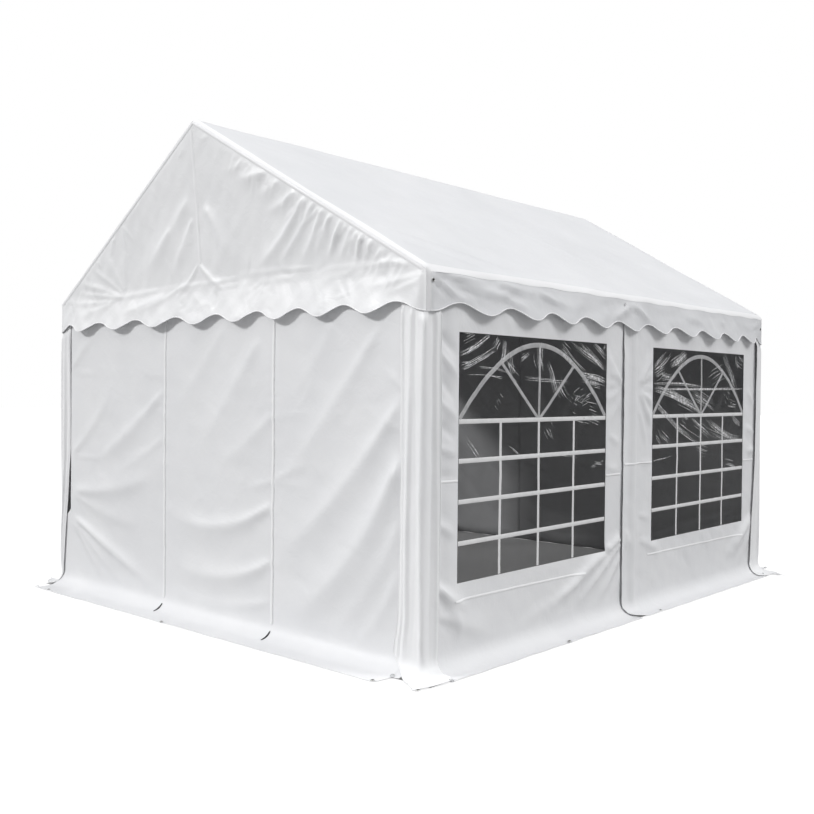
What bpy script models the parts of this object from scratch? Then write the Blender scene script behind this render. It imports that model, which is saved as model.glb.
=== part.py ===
# Marquee tent: a steel tube frame under a white PVC cover with windowed side walls.
# Metres, +Z up, +X to the windowed side, the front gable faces -Y, origin on the ground at the middle.
import math

import bmesh
import bpy
from mathutils import Matrix, Vector

# Driving dimensions of the cover
COVER_WIDTH = 3.44
COVER_LENGTH = 4.05
EAVE_HEIGHT = 2.01
RIDGE_HEIGHT = 2.995
RIDGE_OVERHANG = 0.128
SHEET = 0.003
FILM = 0.001
GAP = 0.0005

# Scalloped valance
SIDE_WAVES = 11
GABLE_WAVES = 9
POINTS_PER_WAVE = 8
VALANCE_DEPTH = 0.187
WAVE_HEIGHT = 0.024
GABLE_FOLD_DROP = 0.02

# Walls, doors, corner covers and ground flaps
WALL_TOP_DROP = 0.04
FRONT_FLAP = 0.191
SIDE_FLAP = 0.126
FLAP_BEND = 0.1
FLAP_STEPS = 8
FLAP_EDGE = 0.012
CORNER_STEPS = 6
ROUND_STEPS = 6
WIDE_COVER_FRONT = 0.162
WIDE_COVER_SIDE = 0.097
NARROW_COVER_FRONT = 0.125
NARROW_COVER_SIDE = 0.112
WIDE_COVER_ROUND = 0.2
NARROW_COVER_ROUND = 0.09
COVER_CLEARANCE = 0.006
SHORT_SIDE_END = 0.134
DOOR_LEFT = -0.45
DOOR_RIGHT = 0.595

# Windows of the side walls
WINDOW_WIDTH = 1.437
WINDOW_BOTTOM = 0.436
WINDOW_TOP = 1.706
WINDOW_START = 0.259
FILM_OVERLAP = 0.02
CUTTER_DEPTH = 0.014

# Steel frame
TUBE_RADIUS = 0.019
SLEEVE_RADIUS = 0.0215
SLEEVE_LENGTH = 0.1
SLEEVE_START = 0.004
SLEEVE_SPIN = 0.13
HUB_RADIUS = 0.021
HUB_RINGS = 8
TUBE_SIDES = 16
CURVE_RESOLUTION = 4
FOOT_SIZE = 0.1
FOOT_THICKNESS = 0.004
FOOT_RIM = 0.0205

# Slopes smaller than this count as none
TINY = 1e-6

# Worked out from the dimensions above
HALF_WIDTH = COVER_WIDTH / 2
HALF_LENGTH = COVER_LENGTH / 2
PITCH = math.atan2(RIDGE_HEIGHT - EAVE_HEIGHT, HALF_WIDTH)
WALL_INSET = SHEET + GAP
WALL_TOP = EAVE_HEIGHT - WALL_TOP_DROP
CORNER_RADIUS = SLEEVE_RADIUS + WALL_INSET
FRAME_INSET = WALL_INSET + CORNER_RADIUS
POST_X = HALF_WIDTH - FRAME_INSET
POST_Y = HALF_LENGTH - FRAME_INSET
EAVE_DROP = (CORNER_RADIUS - FRAME_INSET * math.sin(PITCH)) / math.cos(PITCH)
EAVE_AXIS = EAVE_HEIGHT - EAVE_DROP
RIDGE_AXIS = RIDGE_HEIGHT - CORNER_RADIUS / math.cos(PITCH)
GABLE_FOLD = EAVE_HEIGHT - GABLE_FOLD_DROP


def clear_scene():
    for item in list(bpy.data.objects):
        bpy.data.objects.remove(item, do_unlink=True)


def make_collection(name):
    collection = bpy.data.collections.new(name)
    bpy.context.scene.collection.children.link(collection)
    return collection


def make_material(name, color, roughness, metallic=0.0, alpha=1.0):
    material = bpy.data.materials.new(name)
    material.use_nodes = True
    shader = material.node_tree.nodes["Principled BSDF"]
    shader.inputs["Base Color"].default_value = (*color, 1.0)
    shader.inputs["Roughness"].default_value = roughness
    shader.inputs["Metallic"].default_value = metallic
    shader.inputs["Alpha"].default_value = alpha
    material.diffuse_color = (*color, alpha)
    return material


clear_scene()
TENT = make_collection("marquee_tent")
CUTTERS = make_collection("marquee_tent_cutters")
PVC = make_material("pvc_white", (0.84, 0.84, 0.85), 0.45)
WINDOW_FILM = make_material("window_film", (0.2, 0.2, 0.21), 0.12, alpha=0.6)
STEEL = make_material("galvanised_steel", (0.6, 0.61, 0.62), 0.42, metallic=1.0)


# Helpers for objects

def add_mesh_object(name, mesh, collection, parent, material=None):
    if material:
        mesh.materials.append(material)
    item = bpy.data.objects.new(name, mesh)
    item.parent = parent
    collection.objects.link(item)
    return item


def mesh_from(name, shape):
    mesh = bpy.data.meshes.new(name)
    shape.to_mesh(mesh)
    shape.free()
    return mesh


def mark_as_cutter(item):
    item.hide_render = True
    item.display_type = 'WIRE'


def add_boolean(item, other, operation):
    modifier = item.modifiers.new(f"{operation.lower()} {other.name}", 'BOOLEAN')
    modifier.operation = operation
    modifier.object = other
    modifier.solver = 'EXACT'


def cylinder_mesh(name, start, end, radius, spin=0.0):
    """A cylinder between two points; spin turns its flat sides about its own axis."""
    axis = end - start
    shape = bmesh.new()
    bmesh.ops.create_cone(shape, cap_ends=True, segments=TUBE_SIDES, radius1=radius, radius2=radius,
                          depth=axis.length)
    turn = Vector((0, 0, 1)).rotation_difference(axis).to_matrix().to_4x4()
    shape.transform(Matrix.Translation((start + end) / 2) @ turn @ Matrix.Rotation(spin, 4, 'Z'))
    return mesh_from(name, shape)


def box_mesh(name, low, high):
    size = Vector(high) - Vector(low)
    shape = bmesh.new()
    bmesh.ops.create_cube(shape, size=1.0)
    bmesh.ops.scale(shape, vec=size, verts=shape.verts)
    bmesh.ops.translate(shape, vec=Vector(low) + size / 2, verts=shape.verts)
    return mesh_from(name, shape)


def add_tube(name, start, end, parent):
    """A straight steel tube that stops GAP short of the sleeve at each end."""
    along = (end - start).normalized()
    curve = bpy.data.curves.new(name, 'CURVE')
    curve.dimensions = '3D'
    curve.bevel_depth = TUBE_RADIUS
    curve.bevel_resolution = CURVE_RESOLUTION
    curve.use_fill_caps = True
    spline = curve.splines.new('POLY')
    spline.points.add(1)
    reach = SLEEVE_LENGTH + GAP
    spline.points[0].co = (*(start + along * reach), 1.0)
    spline.points[1].co = (*(end - along * reach), 1.0)
    curve.materials.append(STEEL)
    tube = bpy.data.objects.new(name, curve)
    tube.parent = parent
    TENT.objects.link(tube)


def add_sleeves(name, centre, targets, parent):
    """A joint: one sleeve from the centre towards each target, welded together at a round hub."""
    shape = bmesh.new()
    bmesh.ops.create_uvsphere(shape, u_segments=TUBE_SIDES, v_segments=HUB_RINGS, radius=HUB_RADIUS)
    bmesh.ops.translate(shape, vec=centre, verts=shape.verts)
    hub = add_mesh_object(name, mesh_from(name, shape), TENT, parent, STEEL)
    for number, target in enumerate(targets):
        along = (target - centre).normalized()
        mesh = cylinder_mesh(f"{name} sleeve {number}", centre - along * SLEEVE_START,
                             centre + along * SLEEVE_LENGTH, SLEEVE_RADIUS, spin=number * SLEEVE_SPIN)
        arm = add_mesh_object(mesh.name, mesh, CUTTERS, parent)
        mark_as_cutter(arm)
        add_boolean(hub, arm, 'UNION')


def add_post(name, x, y, parent):
    """A post standing on its foot plate, which reaches inwards only, so that the walls pass it."""
    top = EAVE_AXIS - SLEEVE_LENGTH - GAP
    post = add_mesh_object(name, cylinder_mesh(name, Vector((x, y, 0)), Vector((x, y, top)), TUBE_RADIUS),
                           TENT, parent, STEEL)
    spans = []
    for centre in (x, y):
        if centre == 0:
            spans.append((-FOOT_SIZE / 2, FOOT_SIZE / 2))
        else:
            inward = -math.copysign(1, centre)
            spans.append(sorted((centre - inward * FOOT_RIM, centre + inward * (FOOT_SIZE - FOOT_RIM))))
    (low_x, high_x), (low_y, high_y) = spans
    mesh = box_mesh(f"{name} plate", (low_x, low_y, 0), (high_x, high_y, FOOT_THICKNESS))
    plate = add_mesh_object(mesh.name, mesh, CUTTERS, parent)
    mark_as_cutter(plate)
    add_boolean(post, plate, 'UNION')


def add_sheet(name, rows, parent):
    """A fabric sheet: the outer face is lofted through rows of points, and its thickness lies inside."""
    shape = bmesh.new()
    grid = [[shape.verts.new(point) for point in row] for row in rows]
    for row, following in zip(grid, grid[1:]):
        for a, b, c, d in zip(row, row[1:], following[1:], following):
            shape.faces.new((a, b, c, d))
    sheet = add_mesh_object(name, mesh_from(name, shape), TENT, parent, PVC)
    solidify = sheet.modifiers.new("sheet thickness", 'SOLIDIFY')
    solidify.thickness = SHEET
    solidify.offset = -1.0
    solidify.use_even_offset = True
    return sheet


# Cover

def valance_edge(share, waves):
    """Height of the scalloped lower edge; a wave hangs lowest at each corner."""
    return EAVE_HEIGHT - VALANCE_DEPTH - WAVE_HEIGHT * math.cos(2 * math.pi * waves * share)


def add_roof_slope(name, parent):
    count = SIDE_WAVES * POINTS_PER_WAVE
    ridge_x = SHEET * math.sin(PITCH) + GAP / 2
    ridge_z = RIDGE_HEIGHT - ridge_x * math.tan(PITCH)
    ridge_stretch = (HALF_LENGTH + RIDGE_OVERHANG) / HALF_LENGTH
    rows = []
    for step in range(count + 1):
        share = step / count
        y = -HALF_LENGTH + COVER_LENGTH * share
        rows.append([(HALF_WIDTH, y, valance_edge(share, SIDE_WAVES)),
                     (HALF_WIDTH, y, EAVE_HEIGHT),
                     (ridge_x, y * ridge_stretch, ridge_z)])
    add_sheet(name, [row[::-1] for row in rows], parent)


def gable_lean(z):
    """How far the gable sheet stands out over the front wall at height z."""
    return RIDGE_OVERHANG * max(0.0, z - GABLE_FOLD) / (RIDGE_HEIGHT - GABLE_FOLD)


def add_gable(name, parent):
    """The gable triangle leans out to the end of the ridge, and its valance hangs straight down."""
    count = GABLE_WAVES * POINTS_PER_WAVE
    half = HALF_WIDTH - WALL_INSET
    rows = []
    for step in range(count + 1):
        share = step / count
        x = -half + 2 * half * share
        top = RIDGE_HEIGHT - abs(x) * math.tan(PITCH) - WALL_INSET / math.cos(PITCH)
        heights = (valance_edge(share, GABLE_WAVES), GABLE_FOLD, top)
        rows.append([(x, -HALF_LENGTH - gable_lean(z), z) for z in heights])
    add_sheet(name, [row[::-1] for row in rows], parent)


# Walls

def flap_length(normal, share_left=1.0):
    """Length of the sheet below the bend, for a wall that faces normal; the flaps meet at a square corner."""
    front = FRONT_FLAP + WALL_INSET
    side = SIDE_FLAP + WALL_INSET
    reach = front if abs(normal.x) < TINY else side
    if abs(normal.x) > TINY and abs(normal.y) > TINY:
        reach = min((front + CORNER_RADIUS) / abs(normal.y), (side + CORNER_RADIUS) / abs(normal.x))
        reach -= CORNER_RADIUS
    full = FLAP_BEND * (math.pi / 2 - 1) + reach
    return max(FLAP_EDGE, full * share_left)


def round_share(distance, radius):
    """Share of the flap that is left at this distance from an upright edge whose lower corner is round."""
    if distance >= radius:
        return 1.0
    return math.sqrt(1 - (1 - distance / radius) ** 2)


def flap_point(run):
    """Place (out, height) on the outer face of the flap after this run of sheet below the bend."""
    angle = min(run / FLAP_BEND, math.pi / 2)
    out = FLAP_BEND * (1 - math.cos(angle)) + max(0.0, run - FLAP_BEND * math.pi / 2)
    return out, SHEET + FLAP_BEND * (1 - math.sin(angle))


def wall_rows(stations, mirror=1):
    """One row of points for each (x, y, normal, share of the flap) station of the wall's plan."""
    rows = []
    for x, y, normal, share_left in stations:
        length = flap_length(normal, share_left)
        section = [(0.0, WALL_TOP)]
        section += [flap_point(length * step / FLAP_STEPS) for step in range(FLAP_STEPS + 1)]
        rows.append([(mirror * (x + normal.x * out), y + normal.y * out, z) for out, z in section])
    return rows if mirror > 0 else rows[::-1]


def add_front_panel(name, low_x, high_x, parent):
    normal = Vector((0, -1, 0))
    y = -HALF_LENGTH + WALL_INSET
    stations = [(low_x + GAP / 2, y, normal, 1.0), (high_x - GAP / 2, y, normal, 1.0)]
    add_sheet(name, wall_rows(stations), parent)


def add_corner_cover(name, mirror, front_width, side_width, front_round, parent):
    """A strip of sheet round a front corner post, with a flap of its own that is round at its front end."""
    low_x = HALF_WIDTH - front_width + COVER_CLEARANCE
    y = -HALF_LENGTH + WALL_INSET
    forward = Vector((0, -1, 0))
    stations = []
    for step in range(ROUND_STEPS + 1):
        x = low_x + (POST_X - low_x) * step / (ROUND_STEPS + 1)
        stations.append((x, y, forward, round_share(x - low_x, front_round)))
    for step in range(CORNER_STEPS + 1):
        angle = math.pi / 2 * step / CORNER_STEPS
        normal = Vector((math.sin(angle), -math.cos(angle), 0))
        stations.append((POST_X + CORNER_RADIUS * normal.x, -POST_Y + CORNER_RADIUS * normal.y, normal,
                         round_share(POST_X - low_x, front_round)))
    end_y = -HALF_LENGTH + side_width - GAP / 2
    stations.append((HALF_WIDTH - WALL_INSET, end_y, Vector((1, 0, 0)), 1.0))
    add_sheet(name, wall_rows(stations, mirror), parent)


def add_side_bay(wall_name, window_name, mirror, ends, window_low, parent):
    """A side wall bay with its window cut through, and the film welded behind the opening."""
    outward = Vector((1, 0, 0))
    face = HALF_WIDTH - WALL_INSET
    stations = [(face, ends[0] + GAP / 2, outward, 1.0), (face, ends[1] - GAP / 2, outward, 1.0)]
    wall = add_sheet(wall_name, wall_rows(stations, mirror), parent)
    window_high = window_low + WINDOW_WIDTH
    outer = HALF_WIDTH + WALL_INSET
    low_x, high_x = sorted((mirror * outer, mirror * (outer - CUTTER_DEPTH)))
    mesh = box_mesh(f"{window_name} cutter", (low_x, window_low, WINDOW_BOTTOM),
                    (high_x, window_high, WINDOW_TOP))
    cutter = add_mesh_object(mesh.name, mesh, CUTTERS, parent)
    mark_as_cutter(cutter)
    add_boolean(wall, cutter, 'DIFFERENCE')
    back = mirror * (HALF_WIDTH - 2 * WALL_INSET)
    low_x, high_x = sorted((back, back - mirror * FILM))
    low = (low_x, window_low - FILM_OVERLAP, WINDOW_BOTTOM - FILM_OVERLAP)
    high = (high_x, window_high + FILM_OVERLAP, WINDOW_TOP + FILM_OVERLAP)
    add_mesh_object(window_name, box_mesh(window_name, low, high), TENT, parent, WINDOW_FILM)


# Assembly

def build_half(end, left, right, turn):
    """Everything of the front half of the tent; the rear half is the same, turned half way round."""
    half = bpy.data.objects.new(f"{end} half", None)
    half.rotation_euler.z = turn
    TENT.objects.link(half)

    eave_left = Vector((-POST_X, -POST_Y, EAVE_AXIS))
    eave_right = Vector((POST_X, -POST_Y, EAVE_AXIS))
    middle_left = Vector((-POST_X, 0, EAVE_AXIS))
    middle_right = Vector((POST_X, 0, EAVE_AXIS))
    rear_right = Vector((POST_X, POST_Y, EAVE_AXIS))
    ridge_end = Vector((0, -POST_Y - RIDGE_OVERHANG, RIDGE_AXIS))
    ridge_middle = Vector((0, 0, RIDGE_AXIS))
    down = Vector((0, 0, -1))

    add_post(f"post_{end}_{left}", -POST_X, -POST_Y, half)
    add_post(f"post_{end}_{right}", POST_X, -POST_Y, half)
    add_post(f"post_middle_{right}", POST_X, 0, half)

    add_sleeves(f"eave_joint_{end}_{left}", eave_left,
                (eave_left + down, middle_left, eave_right, ridge_end), half)
    add_sleeves(f"eave_joint_{end}_{right}", eave_right,
                (eave_right + down, middle_right, eave_left, ridge_end), half)
    add_sleeves(f"eave_joint_middle_{right}", middle_right,
                (middle_right + down, eave_right, rear_right, ridge_middle), half)
    add_sleeves(f"ridge_joint_{end}", ridge_end, (eave_left, eave_right, ridge_middle), half)

    add_tube(f"eave_rail_{end}_{left}", eave_left, middle_left, half)
    add_tube(f"eave_rail_{end}_{right}", eave_right, middle_right, half)
    add_tube(f"gable_tie_{end}", eave_left, eave_right, half)
    add_tube(f"rafter_{end}_{left}", eave_left, ridge_end, half)
    add_tube(f"rafter_{end}_{right}", eave_right, ridge_end, half)
    add_tube(f"rafter_middle_{right}", middle_right, ridge_middle, half)
    add_tube(f"ridge_tube_{end}", ridge_end, ridge_middle, half)

    add_roof_slope(f"roof_{right}", half)
    add_gable(f"gable_{end}", half)

    low_edge = NARROW_COVER_FRONT - HALF_WIDTH
    high_edge = HALF_WIDTH - WIDE_COVER_FRONT
    add_front_panel(f"{end}_wall_{left}", low_edge, DOOR_LEFT, half)
    add_front_panel(f"{end}_door", DOOR_LEFT, DOOR_RIGHT, half)
    add_front_panel(f"{end}_wall_{right}", DOOR_RIGHT, high_edge, half)
    add_corner_cover(f"corner_cover_{end}_{right}", 1, WIDE_COVER_FRONT, WIDE_COVER_SIDE,
                     WIDE_COVER_ROUND, half)
    add_corner_cover(f"corner_cover_{end}_{left}", -1, NARROW_COVER_FRONT, NARROW_COVER_SIDE,
                     NARROW_COVER_ROUND, half)

    short_bay = (WIDE_COVER_SIDE - HALF_LENGTH, -SHORT_SIDE_END)
    long_bay = (NARROW_COVER_SIDE - HALF_LENGTH, SHORT_SIDE_END)
    add_side_bay(f"side_wall_{end}_{right}", f"window_{end}_{right}", 1, short_bay,
                 WINDOW_START - HALF_LENGTH, half)
    add_side_bay(f"side_wall_{end}_{left}", f"window_{end}_{left}", -1, long_bay,
                 -WINDOW_START - WINDOW_WIDTH, half)


def build_tent():
    build_half("front", "left", "right", 0.0)
    build_half("rear", "right", "left", math.pi)
    ridge_middle = Vector((0, 0, RIDGE_AXIS))
    targets = [Vector((0, -POST_Y, RIDGE_AXIS)), Vector((0, POST_Y, RIDGE_AXIS)),
               Vector((-POST_X, 0, EAVE_AXIS)), Vector((POST_X, 0, EAVE_AXIS))]
    add_sleeves("ridge_joint_middle", ridge_middle, targets, None)


build_tent()
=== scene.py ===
# The looks of a white marquee tent: PVC sheets with their folds, film windows, hems, zips and eyelets.
import math
from collections import namedtuple

import bmesh
import bpy
import numpy as np
from mathutils import Matrix, Vector


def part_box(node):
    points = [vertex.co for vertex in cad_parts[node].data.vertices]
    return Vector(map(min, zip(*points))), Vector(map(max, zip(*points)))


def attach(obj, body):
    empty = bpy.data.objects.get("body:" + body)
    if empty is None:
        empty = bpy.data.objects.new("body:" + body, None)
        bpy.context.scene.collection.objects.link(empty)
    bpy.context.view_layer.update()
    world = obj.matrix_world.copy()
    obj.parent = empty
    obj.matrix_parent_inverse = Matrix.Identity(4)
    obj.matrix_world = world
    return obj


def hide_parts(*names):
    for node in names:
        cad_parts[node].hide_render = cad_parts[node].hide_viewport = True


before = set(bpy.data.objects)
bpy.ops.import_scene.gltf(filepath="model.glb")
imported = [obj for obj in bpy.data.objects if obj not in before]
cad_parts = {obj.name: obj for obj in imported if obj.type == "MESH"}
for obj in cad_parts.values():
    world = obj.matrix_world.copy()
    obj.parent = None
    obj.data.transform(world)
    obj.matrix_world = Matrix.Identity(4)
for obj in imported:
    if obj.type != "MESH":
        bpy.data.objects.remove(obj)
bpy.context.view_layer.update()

X, Y, Z = range(3)


def span(node, axis, overlap=0.0):
    """Where a node of the frame starts and ends along an axis, or its opening where it overlaps one."""
    low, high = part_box(node)
    return low[axis] + overlap, high[axis] - overlap


# Sizes read from the frame
FILM_OVERLAP = 0.02
HALF_WIDTH, RIDGE_END, RIDGE_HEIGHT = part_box("roof_right")[1]
WALL_TOP = span("front_door", Z)[1]
FLAP_FRONT_EDGE = -span("front_door", Y)[0]
FLAP_SIDE_EDGE = span("side_wall_front_right", X)[1]
DOOR_LEFT, DOOR_RIGHT = span("front_door", X)
PANEL_LEFT = span("front_wall_left", X)[0]
PANEL_RIGHT = span("front_wall_right", X)[1]
SHORT_BAY = span("side_wall_front_right", Y)
LONG_BAY = span("side_wall_rear_right", Y)
WINDOW = {"short": span("window_front_right", Y, FILM_OVERLAP), "long": span("window_rear_right", Y, FILM_OVERLAP)}
WINDOW_BOTTOM, WINDOW_TOP = span("window_front_right", Z, FILM_OVERLAP)

# Sizes of the cover and its walls, as in the frame
HALF_LENGTH = 2.025
EAVE_HEIGHT = 2.01
GABLE_FOLD = 1.99
WALL_INSET = 0.0035
FRONT_FACE = HALF_LENGTH - WALL_INSET
SIDE_FACE = HALF_WIDTH - WALL_INSET
ROOF_RISE = RIDGE_HEIGHT - EAVE_HEIGHT
FLAP_BEND = 0.1
FLAP_LIFT = 0.003

# Sheets: thickness, hems, and the distances between their points
THICKNESS = 0.0012
HEM_RADIUS = 0.003
EDGE_RADIUS = 0.0018
STEP = 0.018
GABLE_STEP = 0.012
ROOF_STEP = 0.025
COVER_STEP = 0.006
FILM_STEP = 0.013
RIBBON_STEP = 0.02
MERGE = 0.00001
TRIM_MERGE = 0.0015

# Valance: where its lower edge hangs lowest, along the gable and along the side
FRONT_LOWS = (-1.72, -1.407, -0.955, -0.512, -0.083, 0.298, 0.658, 0.999, 1.356, 1.72)
SIDE_LOWS = (-2.025, -1.586, -1.174, -0.818, -0.426, -0.023, 0.332, 0.739, 1.122, 1.47, 1.797, 2.025)
VALANCE_DEPTH = 0.187
WAVE_HEIGHT = 0.026

TENT_MIDDLE = (0.0, 0.0, 1.0)


# Numbers and curves

def smooth(value):
    """0 below 0, 1 above 1, and an even slope between."""
    value = np.clip(value, 0.0, 1.0)
    return value * value * (3 - 2 * value)


def bell(distance, width, power=2):
    """1 at no distance, falling off to both sides; a higher power has a flatter top."""
    return np.exp(-np.abs(distance / width) ** power)


def spaced(*stops, step):
    """Values from the first stop to the last that hit every stop, about a step apart."""
    values = [np.array([stops[0]])]
    for low, high in zip(stops, stops[1:]):
        count = max(1, round(abs(high - low) / step))
        values.append(np.linspace(low, high, count + 1)[1:])
    return np.concatenate(values)


def wave(place, lows):
    """1 at each of the places where a scalloped edge hangs lowest, and -1 halfway between them."""
    return np.cos(math.tau * np.interp(place, lows, np.arange(len(lows))))


def wave_depth(place, lows):
    """How far the scalloped edge hangs below the eave."""
    return VALANCE_DEPTH + WAVE_HEIGHT * wave(place, lows)


def ripple(a, b, seed, size, height, waves=9):
    """Even, shallow unevenness: a sum of plane waves of about one size."""
    random = np.random.default_rng(seed)
    total = np.zeros(np.broadcast(a, b).shape)
    for _ in range(waves):
        angle = random.uniform(0, math.tau)
        length = size * random.uniform(0.6, 1.7)
        shift = random.uniform(0, math.tau)
        total = total + np.sin(math.tau * (a * math.cos(angle) + b * math.sin(angle)) / length + shift)
    return height * total / math.sqrt(waves)


def unit(vector):
    return vector / np.linalg.norm(vector)


def run_lengths(points):
    """The run from the first point of a line to each of its points."""
    return np.concatenate([[0], np.cumsum(np.linalg.norm(np.diff(points, axis=0), axis=1))])


class RoundedPath:
    """A path of straight runs with round corners, read by its run length."""

    ARC_POINTS = 13

    def __init__(self, corners, radius, pieces):
        corners = [np.array(corner, float) for corner in corners]
        points = [corners[0]]
        for before, corner, after in zip(corners, corners[1:], corners[2:]):
            came, goes = unit(corner - before), unit(after - corner)
            turn = math.acos(np.clip(came @ goes, -1, 1))
            start = corner - came * radius * math.tan(turn / 2)
            centre = start + unit(goes - came * (came @ goes)) * radius
            for angle in np.linspace(0, turn, self.ARC_POINTS):
                points.append(centre + (start - centre) * math.cos(angle) + came * radius * math.sin(angle))
        points = np.array(points + [corners[-1]])
        runs = run_lengths(points)
        self.length = runs[-1]
        self.run = np.linspace(0, self.length, pieces)
        self.first, self.second = (np.interp(self.run, runs, points[:, axis]) for axis in (0, 1))
        slope_1, slope_2 = np.gradient(self.first, self.run), np.gradient(self.second, self.run)
        size = np.hypot(slope_1, slope_2)
        self.out_1, self.out_2 = -slope_2 / size, slope_1 / size

    def at(self, run):
        """Point and normal at a run length; past the ends the path goes on straight."""
        extra = run - np.clip(run, 0, self.length)
        first, second, out_1, out_2 = (np.interp(run, self.run, values)
                                       for values in (self.first, self.second, self.out_1, self.out_2))
        return first + out_2 * extra, second - out_1 * extra, out_1, out_2


# Folds

Fold = namedtuple("Fold", "start end width height bow", defaults=(0.0,))

# A fold starts pinched, widens over a share of its length, leans to one side, comes up soon and fades late
PINCH = 0.35
WIDENING = 0.5
LEAN = 0.2
COMES_UP = 0.12
FADES = 0.45
ROUNDNESS = 1.5


def fold_height(fold, a, b):
    """A soft ridge from start to end that bows sideways, pinched where it starts and fading where it ends."""
    reach = (fold.end[0] - fold.start[0], fold.end[1] - fold.start[1])
    length = math.hypot(*reach)
    ahead = (reach[0] / length, reach[1] / length)
    along = ((a - fold.start[0]) * ahead[0] + (b - fold.start[1]) * ahead[1]) / length
    across = (b - fold.start[1]) * ahead[0] - (a - fold.start[0]) * ahead[1]
    inside = np.clip(along, 0, 1)
    across = across - fold.bow * 4 * inside * (1 - inside)
    width = fold.width * (PINCH + (1 - PINCH) * smooth(along / WIDENING))
    width = width * np.where(across > 0, 1 + LEAN, 1 - LEAN)
    return fold.height * smooth(along / COMES_UP) * smooth((1 - along) / FADES) * bell(across, width, ROUNDNESS)


def folds_at(folds, a, b):
    """Height of all the folds together, each worked out only where it reaches."""
    a, b = np.broadcast_arrays(a, b)
    total = np.zeros(a.shape)
    a_low, a_high, b_low, b_high = a.min(), a.max(), b.min(), b.max()
    for fold in folds:
        reach = 3 * fold.width + abs(fold.bow)
        left, right = min(fold.start[0], fold.end[0]) - reach, max(fold.start[0], fold.end[0]) + reach
        bottom, top = min(fold.start[1], fold.end[1]) - reach, max(fold.start[1], fold.end[1]) + reach
        if left < a_high and right > a_low and bottom < b_high and top > b_low:
            near = (a > left) & (a < right) & (b > bottom) & (b < top)
            total[near] += fold_height(fold, a[near], b[near])
    return total


def crumples(count, seed, low, high, length, width, height):
    """Short folds at random between two corners of a sheet, some raised and some sunk."""
    random = np.random.default_rng(seed)
    folds = []
    for _ in range(count):
        start = random.uniform(low, high)
        angle, reach = random.uniform(0, math.tau), random.uniform(*length)
        end = (start[0] + reach * math.cos(angle), start[1] + reach * math.sin(angle))
        size = random.uniform(*height) * random.choice((-1, 1))
        folds.append(Fold(tuple(start), end, random.uniform(*width), size, random.uniform(-0.2, 0.2) * reach))
    return folds


def fold_table(*rows):
    """Folds from rows of start, end, width, height and bow; a place is along the sheet, then up."""
    return [Fold(row[:2], row[2:4], *row[4:]) for row in rows]


# Folds of the front wall: x across, z up
FRONT_FOLDS = fold_table(
    (1.58, 1.4, 0.58, 0.44, 0.085, 0.02, 0.075), (1.58, 1.12, 0.62, 0.08, 0.125, 0.032, 0.14),
    (1.58, 0.8, 0.98, 0.05, 0.08, 0.01, 0.08), (1.56, 0.52, 1.22, 0.05, 0.05, 0.008, 0.04),
    (1.42, 1.75, 0.62, 0.86, 0.07, 0.011, 0.03), (1.1, 1.8, 0.68, 1.3, 0.06, 0.005, 0.02),
    (0.48, 1.72, -0.12, 1.02, 0.085, 0.011, 0.02), (0.59, 1.28, 0.02, 0.92, 0.075, 0.008, 0.03),
    (0.16, 1.8, -0.4, 1.25, 0.06, 0.005, 0.03), (0.62, 0.78, -0.48, 0.66, 0.062, 0.017, 0.13),
    (0.62, 0.46, -0.48, 0.38, 0.075, 0.018, 0.13), (0.6, 0.22, -0.4, 0.16, 0.05, 0.009, 0.06),
    (-0.46, 1.4, -1.34, 0.88, 0.06, 0.013, 0.04), (-0.46, 1.1, -1.1, 0.82, 0.045, 0.006, 0.02),
    (-1.58, 1.52, -1.26, 1.78, 0.035, 0.007, 0.02), (-1.58, 1.515, -1.22, 1.5, 0.014, 0.003),
    (-1.58, 0.93, -1.02, 1.44, 0.05, 0.009, -0.03), (-1.58, 0.925, -1.12, 0.925, 0.014, 0.004),
    (-1.58, 0.69, -0.44, 0.9, 0.075, 0.016, -0.06), (-1.58, 0.67, -0.62, 0.5, 0.06, 0.009, -0.03),
    (-1.58, 0.51, -0.44, 0.08, 0.042, 0.02, 0.01), (-1.58, 0.49, -0.85, 0.06, 0.032, 0.01),
    (-1.58, 0.47, -1.12, 0.05, 0.034, 0.01, 0.02), (0.61, 0.9, 0.36, 0.84, 0.02, 0.005),
    (0.6, 0.9, 0.92, 1.02, 0.03, 0.006), (0.6, 0.89, 0.84, 0.88, 0.014, 0.004),
    (1.57, 1.42, 1.44, 1.52, 0.02, 0.005), (1.57, 1.21, 1.45, 1.26, 0.02, 0.005))

# Heights of the short puckers beside each zip
ZIP_PUCKERS = ((DOOR_LEFT, (1.38, 1.31, 1.24, 1.08, 0.94)),
               (DOOR_RIGHT, (1.46, 1.40, 1.34, 1.25, 1.10, 0.72, 0.60)))

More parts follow.
